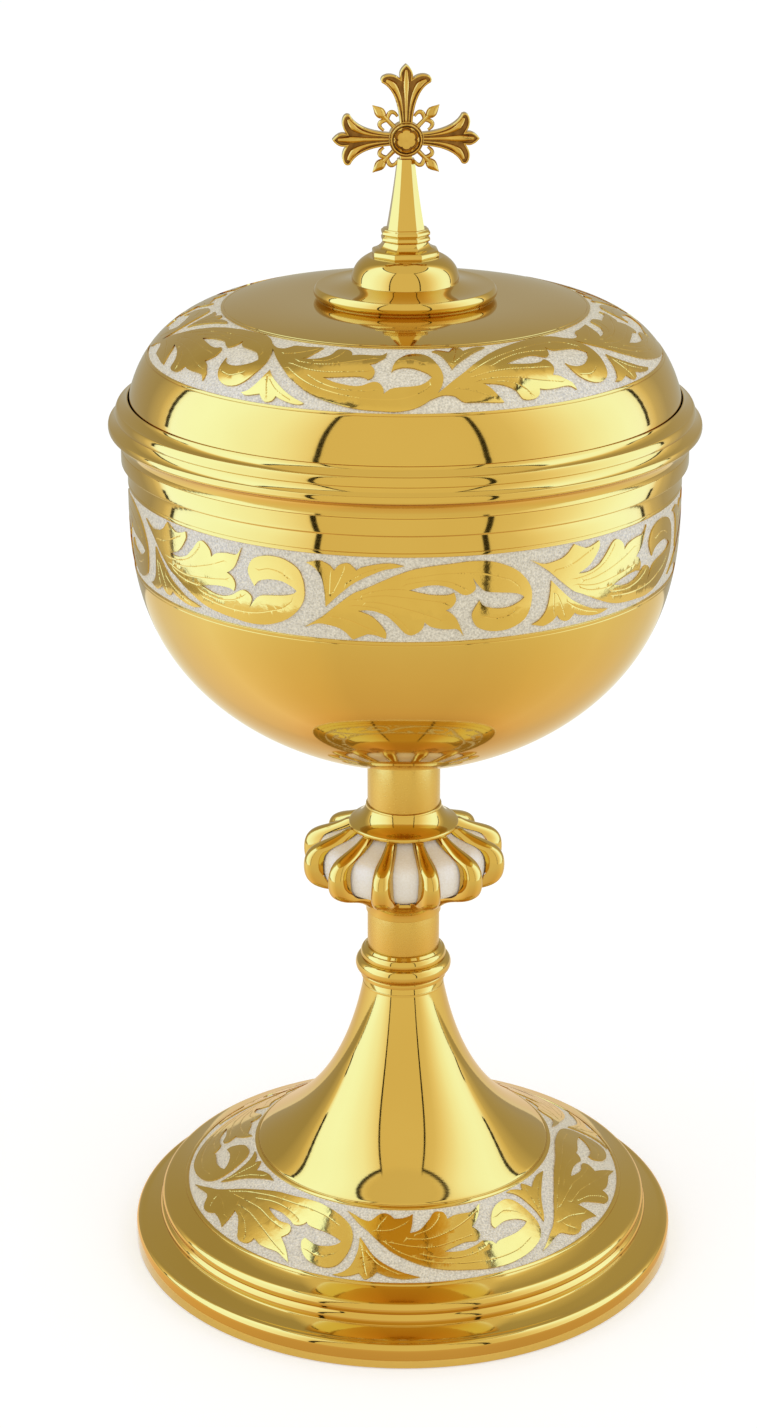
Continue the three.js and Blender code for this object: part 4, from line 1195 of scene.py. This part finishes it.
def armRing():
    # outline of one arm pointing up, its right half and then its left
    c = cross
    hook = c["notchHeight"] + 1.2
    right = [Vector((c["rootHalf"], 0))]
    right += bezier((c["rootHalf"], 2.6), (c["rootHalf"] + 0.1, 6.2),
                    (0.45 * c["lobeReach"], c["lobeHeight"] - 1.3),
                    (c["lobeReach"] - 0.1, c["lobeHeight"]), 14)
    right += quadratic(right[-1], (c["lobeReach"] + 0.35, c["lobeHeight"] + 0.7),
                       (c["lobeReach"] - 0.3, c["lobeHeight"] + 1.3), 5)[1:]
    right += bezier(right[-1], (0.75 * c["lobeReach"], hook), (0.45 * c["lobeReach"], hook - 0.2),
                    (c["notchHalf"], c["notchHeight"]), 8)[1:]
    right += bezier(right[-1], (c["notchHalf"] + 0.45, c["notchHeight"] + 1.2),
                    (0.75 * c["notchHalf"], c["arm"] - 0.7), (0, c["arm"]), 9)[1:]
    left = [Vector((-p.x, p.y)) for p in right[:-1]][::-1]
    return right + left


def drawnPlate(mesh, ring, back, front, bevel, turn, fieldRing=None, fieldDepth=0.0):
    # a plate between two depths with its front edge cut back, drawn in x and y, facing +z
    count = len(ring)
    inner = [p for p in insetRing(ring, bevel)]
    levels = [(ring, back), (ring, front - bevel), (inner, front)]
    if fieldRing:
        levels += [(fieldRing, front), (insetRing(fieldRing, 0.12), front - fieldDepth)]
    spin = Matrix.Rotation(turn, 2)
    rings = []
    for points, depth in levels:
        rings.append([mesh.verts.new((*(spin @ p), depth)) for p in points])
    mesh.faces.new(rings[0][::-1])
    for low, high in zip(rings, rings[1:]):
        for k in range(count):
            j = (k + 1) % count
            mesh.faces.new((low[k], low[j], high[j], high[k]))
    mesh.faces.new(rings[-1])


def insetRing(ring, distance):
    moved = []
    for i, point in enumerate(ring):
        wayIn = (point - ring[i - 1]).normalized()
        wayOut = (ring[(i + 1) % len(ring)] - point).normalized()
        middle = wayIn + wayOut
        if middle.length < 1e-6:
            middle = wayIn
        normal = -rightOf(middle)
        moved.append(point + normal * distance / max(normal.dot(-rightOf(wayIn)), 0.6))
    return moved


def ridge(mesh, line, widths, base, rise, turn):
    # a raised half-round rib along a drawn line, such as a flute or a leaf's stem
    spin = Matrix.Rotation(turn, 2)
    rings = []
    count = len(line)
    for i, point in enumerate(line):
        way = line[min(i + 1, count - 1)] - line[max(i - 1, 0)]
        side = rightOf(way)
        t = i / (count - 1)
        spot = t * (len(widths) - 1)
        k = min(int(spot), len(widths) - 2)
        half = widths[k] + (widths[k + 1] - widths[k]) * (spot - k)
        ring = []
        for step in range(7):
            angle = math.pi * step / 6
            edge = spin @ (point + side * half * math.cos(angle))
            ring.append(mesh.verts.new((*edge, base + rise * math.sin(angle) * half / max(widths))))
        rings.append(ring)
    for low, high in zip(rings, rings[1:]):
        for k in range(6):
            mesh.faces.new((low[k], high[k], high[k + 1], low[k + 1]))
        mesh.faces.new((low[6], high[6], high[0], low[0]))
    mesh.faces.new(rings[0])
    mesh.faces.new(rings[-1][::-1])


def armFlutes():
    # centre lines of the middle flute and the right-hand one
    c = cross
    middle = [Vector((0, 3.4)), Vector((0, 7)), Vector((0, 10.5)), Vector((0, 13.2)), Vector((0, 14.5))]
    side = bezier((0.62, 3.6), (0.85, 8.6), (1.9, c["lobeHeight"] - 0.4),
                  (c["lobeReach"] - 1.0, c["lobeHeight"] + 0.35), 12)
    return smoothThrough([tuple(p) for p in middle], 0.6), side


def buildCross():
    c = cross
    half = c["thick"] / 2
    for facing in (1, -1):
        mesh = bmesh.new()
        back = 0.0
        for turn in (-math.pi / 2, 0, math.pi / 2):
            ring = armRing()
            drawnPlate(mesh, ring, back, half, 0.16, turn, insetRing(ring, c["rim"]), c["field"])
            middle, side = armFlutes()
            base = half - c["field"] - 0.05
            mirrored = [Vector((-p.x, p.y)) for p in side]
            for flute, widths in ((middle, "middleFlute"), (side, "sideFlute"), (mirrored, "sideFlute")):
                ridge(mesh, flute, c[widths], base, c["fluteRise"], turn)
        shadeRecesses(mesh, half - 0.8 * c["field"], half - 1.3 * c["field"])
        for i in range(4):
            spray(mesh, back, math.pi / 4 + i * math.pi / 2)
        hub = [Vector((c["hub"] * math.cos(a), c["hub"] * math.sin(a)))
               for a in [2 * math.pi * k / 64 for k in range(64)]]
        drawnPlate(mesh, hub, back, half - 0.02, 0.1, 0)
        footRing = [Vector(p) for p in ((-c["rootHalf"], -c["footDrop"]), (c["rootHalf"], -c["footDrop"]),
                                        (c["rootHalf"], 0), (-c["rootHalf"], 0))]
        drawnPlate(mesh, footRing, back, half - 0.01, 0.12, 0)
        bmesh.ops.rotate(mesh, verts=mesh.verts, matrix=Matrix.Rotation(facing * math.pi / 2, 3, "X"))
        if facing < 0:  # set the back half upright again
            bmesh.ops.rotate(mesh, verts=mesh.verts, matrix=Matrix.Rotation(math.pi, 3, "Y"))
        bmesh.ops.translate(mesh, verts=mesh.verts, vec=(0, 0, crossCentre))
        bmesh.ops.recalc_face_normals(mesh, faces=mesh.faces)
        name = "cross_front_half" if facing > 0 else "cross_back_half"
        piece = fromBmesh(name, mesh, [castGold, shadedGold], 35)
        place(piece, "lid", "polished_gold", "cross_head")


def shadeRecesses(mesh, below, above):
    # the sunk fields are darker, painted shade: faces that look forward and lie between two depths get the
    # dark gilt
    mesh.normal_update()
    for face in mesh.faces:
        if face.normal.z > 0.5 and above < face.calc_center_median().z < below:
            face.material_index = 1


def spray(mesh, back, turn):
    # thin stem, pointed oval leaf and two hooks curling out of it
    c = cross
    half = c["sprayThick"] / 2
    joint = c["spray"] - 4.4
    stemLine = [Vector((0, 3.0)), Vector((0, 4.2)), Vector((0, joint)), Vector((0, joint + 0.9))]
    ridge(mesh, stemLine, [0.62, 0.5, 0.48, 0.55], back, half, turn)
    leafLine = [Vector((0, joint + 0.3 + 0.36 * i)) for i in range(12)]
    widths = [0.35, 0.75, 1.05, 1.15, 1.02, 0.72, 0.36, 0.06]
    ridge(mesh, leafLine, widths, back, half, turn)
    hook = bezier((0.2, joint - 0.1), (1.3, joint + 0.9), (2.5, joint + 0.6), (2.05, joint - 1.2), 10)
    for sign in (1, -1):
        line = [Vector((sign * p.x, p.y)) for p in hook]
        ridge(mesh, line, [0.4, 0.52, 0.5, 0.42, 0.3], back, 0.8 * half, turn)


def buildMedallions():
    # a rosette of six lobes sunk in a round rim, the same on both faces
    c = cross
    for facing, node in ((1, "medallion_front"), (-1, "medallion_back")):
        mesh = bmesh.new()
        rings = []
        steps = 96
        profile = [(3.7, 0.0), (3.7, 0.3), (3.62, 0.34), (3.5, 0.34), (3.42, 0.6), (3.25, 0.84),
                   (3.08, 0.84), (2.94, 0.62), (2.88, 0.3), (2.78, 0.3), (2.7, 0.62)]
        for radius, height in profile:
            rings.append([mesh.verts.new((radius * math.cos(2 * math.pi * k / steps),
                                          radius * math.sin(2 * math.pi * k / steps), height))
                          for k in range(steps)])
        for scale, height in ((1.12, 0.72), (1.0, 0.3), (0.9, 0.3), (0.82, 0.55), (0.5, 0.56)):
            ring = []
            for k in range(steps):
                angle = 2 * math.pi * k / steps
                lobe = 2.02 + 0.38 * abs(math.cos(3 * angle + math.pi / 2)) ** 0.6
                radius = scale * lobe
                ring.append(mesh.verts.new((radius * math.cos(angle), radius * math.sin(angle), height)))
            rings.append(ring)
        for i, (low, high) in enumerate(zip(rings, rings[1:])):
            for k in range(steps):
                j = (k + 1) % steps
                face = mesh.faces.new((low[k], low[j], high[j], high[k]))
                # the sunk rings take the dark gilt, painted shade
                face.material_index = 1 if i in c["sunkRings"] else 0
        mesh.faces.new(rings[0][::-1])
        mesh.faces.new(rings[-1])
        bmesh.ops.translate(mesh, verts=mesh.verts, vec=(0, 0, c["thick"] / 2))
        bmesh.ops.rotate(mesh, verts=mesh.verts, matrix=Matrix.Rotation(facing * math.pi / 2, 3, "X"))
        bmesh.ops.translate(mesh, verts=mesh.verts, vec=(0, 0, crossCentre))
        bmesh.ops.recalc_face_normals(mesh, faces=mesh.faces)
        piece = fromBmesh(node + "_dressed", mesh, [castGold, shadedGold], 40)
        place(piece, "lid", "polished_gold", node)


buildCross()
buildMedallions()
print("cross built")


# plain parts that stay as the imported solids

for nodeName, finish in (
    ("foot_ring", plainBrass), ("rod_washer", plainBrass), ("rod_nut", turnedSteel),
    ("tie_rod", turnedSteel), ("cup_socket", plainBrass), ("finial_washer", plainBrass),
    ("finial_nut", plainBrass), ("finial_stud", turnedSteel), ("lid_skirt", polishedGold),
):
    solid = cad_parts[nodeName]
    solid.data.materials.clear()
    solid.data.materials.append(finish)


# floor, backdrop, light and camera

studio = dict(
    floorRadius=6.0, floorShade=0.80, floorGlow=0.33, worldFill=0.84,
    lampTurns=(-65, 65), lampPower=0.7, lampDistance=1.3, lampWidth=1.0, lampHeight=1.1, lampLift=0.7,
)
# white cloth on the ground, round the object and over it, seen by the metal only;
# turns and ground give the brightness against the turn from the camera;
# the ground's glow is painted floor light, with painted shadow and a painted reflection of the gilding by
# the foot
tent = dict(
    radius=0.42, height=0.95, ceiling=0.93, topEdge=1.5, topFade=0.06, seamHalf=1.2, seamShade=0.03,
    turns=[(-180, 0.5), (-130, 0.5), (-119, 0.75), (-113, 1.2), (-110, 3.0), (-107, 4.9), (-90, 5.2),
           (-78, 4.8), (-66, 3.8), (-54, 2.9), (-44, 2.1), (-36, 1.6), (-33, 1.0), (31, 1.0), (34, 1.05),
           (44, 1.15), (54, 1.45), (66, 2.1), (78, 3.2), (88, 4.3), (97, 4.7), (106, 4.2), (110, 2.6),
           (113, 1.3), (119, 0.8), (130, 0.55), (180, 0.5)],
    frontLeft=-33, frontRight=31, panelEdge=111, farSeam=((0, 0.10), (0.2, 0.5)),
    farLeft=[(0, -75), (0.05, -104), (0.95, -116)], farRight=[(0, 84), (0.05, 108), (0.95, 119)],
    ground=[(-180, 0.85), (-130, 0.9), (-90, 1.4), (-55, 1.05), (-28, 0.87), (28, 0.85), (55, 0.92),
            (90, 1.1), (130, 0.88), (180, 0.85)],
    # the ground ring is darker next to the foot, painted shadow, and the next table warms it there, a
    # painted reflection of the gilding
    groundReach=[(0.066, 0.9), (0.08, 1.0), (0.16, 1.05), (0.42, 1.12)],
    groundGoldBounce=[(0.066, 0.76), (0.10, 0.84), (0.17, 0.9), (0.30, 1.0)],
    groundInner=0.066, groundHeight=0.0006, wallFoot=0.004,
    # the cloth's colour against its brightness
    red=[(0, 0), (1, 1), (1.45, 1.2), (2.1, 1.3), (3, 1.36), (5.2, 1.41)],
    green=[(0, 0), (1, 0.98), (1.45, 1.28), (2.1, 1.58), (3, 1.84), (5.2, 2.15)],
    blue=[(0, 0), (1, 0.82), (1.45, 1.4), (2.1, 2.2), (3, 3.0), (5.2, 4.2)],
)
shot = dict(
    distance=640, turn=-5.0, height=369.5, pitch=-20.38, aside=0.52, lens=75.63,
)


def flatFinish(name, colour, rough=0.9):
    material, tree, shader = newFinish(name)
    grain = addNode(tree, "ShaderNodeTexNoise", Scale=6.0, Detail=2.0)
    darker = tuple(0.985 * c for c in colour)
    shade = ramp(tree, grain.outputs["Fac"], [(0.3, darker), (0.7, colour)])
    tree.links.new(shade, shader.inputs["Base Color"])
    shader.inputs["Roughness"].default_value = rough
    return material, tree, shader


def seenDirectly(tree):
    # 1 for camera, mirror and glass rays, 0 for the light that falls on things
    rays = addNode(tree, "ShaderNodeLightPath").outputs
    total = maths(tree, "ADD", rays["Is Camera Ray"], rays["Is Glossy Ray"], use_clamp=True)
    return maths(tree, "ADD", total, rays["Is Transmission Ray"], use_clamp=True)


def buildWorld():
    world = bpy.data.worlds.new("white studio")
    bpy.context.scene.world = world
    world.use_nodes = True
    tree = world.node_tree
    background = tree.nodes["Background"]
    background.inputs["Color"].default_value = (1, 1, 1, 1)
    strength = addNode(tree, "ShaderNodeMapRange")
    strength.inputs["To Min"].default_value = studio["worldFill"]
    strength.inputs["To Max"].default_value = 1.0
    tree.links.new(seenDirectly(tree), strength.inputs["Value"])
    tree.links.new(strength.outputs["Result"], background.inputs["Strength"])


def buildFloor():
    shade = studio["floorShade"]
    material, tree, shader = flatFinish("pale floor", (shade, shade, shade))
    shader.inputs["Emission Color"].default_value = (1, 1, 1, 1)
    glow = maths(tree, "MULTIPLY", seenDirectly(tree), studio["floorGlow"])
    tree.links.new(glow, shader.inputs["Emission Strength"])
    bpy.ops.mesh.primitive_circle_add(vertices=96, radius=studio["floorRadius"], fill_type="NGON")
    floor = bpy.context.object
    floor.name = "studio_floor"
    floor.location.z = -0.0002
    floor.data.materials.append(material)


def aroundObject(turn, distance, height):
    angle = math.radians(shot["turn"] + turn)
    return Vector((distance * math.sin(angle), -distance * math.cos(angle), height))


def buildLamps():
    for turn in studio["lampTurns"]:
        data = bpy.data.lights.new("soft box", "AREA")
        data.shape = "RECTANGLE"
        data.size, data.size_y = studio["lampWidth"], studio["lampHeight"]
        data.energy = studio["lampPower"] * math.pi * data.size * data.size_y
        lamp = bpy.data.objects.new("soft_box", data)
        bpy.context.scene.collection.objects.link(lamp)
        lamp.location = aroundObject(turn, studio["lampDistance"], studio["lampLift"])
        aim = Vector((0, 0, 0.05)) - lamp.location
        lamp.rotation_euler = aim.to_track_quat("-Z", "Y").to_euler()
        lamp.visible_camera = False
        lamp.visible_glossy = False


def tentGlow(turn, height):
    t = tent
    far = between(t["farLeft"], height) if turn < 0 else between(t["farRight"], height)
    front = t["frontLeft"] if turn < 0 else t["frontRight"]
    if abs(turn - front) < t["seamHalf"]:
        return t["seamShade"]
    if abs(turn - far) < t["seamHalf"] and any(low < height < high for low, high in t["farSeam"]):
        return t["seamShade"]
    panelEdge = math.copysign(t["panelEdge"], turn)
    if abs(turn) > abs(front):
        turn = front + (turn - front) * (panelEdge - front) / (far - front)
    return between(t["turns"], turn)


def tentColour(brightness):
    # the brighter cloth is cooler, so that a highlight on the gilding goes pale and not orange
    return (*(between(tent[channel], brightness) for channel in ("red", "green", "blue")), 1)


def buildTent():
    t = tent
    wallRows, columns = 96, 900
    inner = t["groundInner"]
    ground = [(inner + (t["radius"] - inner) * (i / 24) ** 1.5, t["groundHeight"]) for i in range(25)]
    foot = t["wallFoot"]
    wall = [(t["radius"], foot + (t["height"] - foot) * (i / wallRows) ** 1.6) for i in range(wallRows + 1)]
    top = [(t["radius"] * (1 - i / 24) + 0.0005, t["height"]) for i in range(1, 25)]
    rows = ground + wall + top
    wallTop = len(ground) + wallRows
    verts, glows, faces = [], [], []
    for row, (radius, height) in enumerate(rows):
        onWall = row < wallTop
        for k in range(columns):
            turn = -180 + 360 * k / columns
            verts.append(aroundObject(turn, radius, height))
            # the ground ring: painted floor light, with painted shadow and a painted reflection of the
            # gilding near the foot
            if row < len(ground):
                side = between(t["ground"], turn) * between(t["groundReach"], radius)
                goldBounce = between(t["groundGoldBounce"], radius)
                red, green, blue, _ = tentColour(side)
                glows += (red, green * goldBounce, blue * goldBounce ** 2, 1)
                continue
            side = tentGlow(turn, height)
            if not onWall:
                share = max(0, 1 - (t["radius"] - radius) / t["topFade"])
                side = t["ceiling"] + (min(side, t["topEdge"]) - t["ceiling"]) * share
            overPanel = t["frontRight"] < turn < t["panelEdge"] or -t["panelEdge"] < turn < t["frontLeft"]
            glows += tentColour(t["seamShade"] if overPanel and row in (wallTop, wallTop + 1) else side)
        if row:
            first, under = row * columns, (row - 1) * columns
            for k in range(columns):
                j = (k + 1) % columns
                faces.append((under + k, under + j, first + j, first + k))
    mesh = bpy.data.meshes.new("light tent")
    mesh.from_pydata(verts, [], faces)
    glow = mesh.attributes.new("glow", "FLOAT_COLOR", "POINT")
    glow.data.foreach_set("color", glows)
    material = bpy.data.materials.new("tent cloth")
    material.use_nodes = True
    tree = material.node_tree
    tree.nodes.remove(tree.nodes["Principled BSDF"])
    brightness = addNode(tree, "ShaderNodeAttribute", attribute_name="glow")
    cloth = addNode(tree, "ShaderNodeEmission")
    tree.links.new(brightness.outputs["Color"], cloth.inputs["Color"])
    tree.links.new(cloth.outputs[0], tree.nodes["Material Output"].inputs["Surface"])
    material.cycles.emission_sampling = "NONE"
    mesh.materials.append(material)
    cloth = bpy.data.objects.new("light_tent", mesh)
    bpy.context.scene.collection.objects.link(cloth)
    cloth.visible_camera = False
    cloth.visible_diffuse = False
    cloth.visible_shadow = False


def buildCamera():
    data = bpy.data.cameras.new("photo camera")
    data.lens = shot["lens"]
    data.sensor_width = 36
    data.clip_start, data.clip_end = 0.01, 50
    camera = bpy.data.objects.new("photo_camera", data)
    bpy.context.scene.collection.objects.link(camera)
    camera.location = aroundObject(0, shot["distance"] * mm, shot["height"] * mm)
    heading = math.radians(shot["turn"] + shot["aside"])
    camera.rotation_euler = (math.radians(90 + shot["pitch"]), 0, heading)
    bpy.context.scene.camera = camera


buildWorld()
buildFloor()
buildLamps()
buildTent()
buildCamera()
bpy.context.scene.view_settings.view_transform = "Standard"
print("studio set")
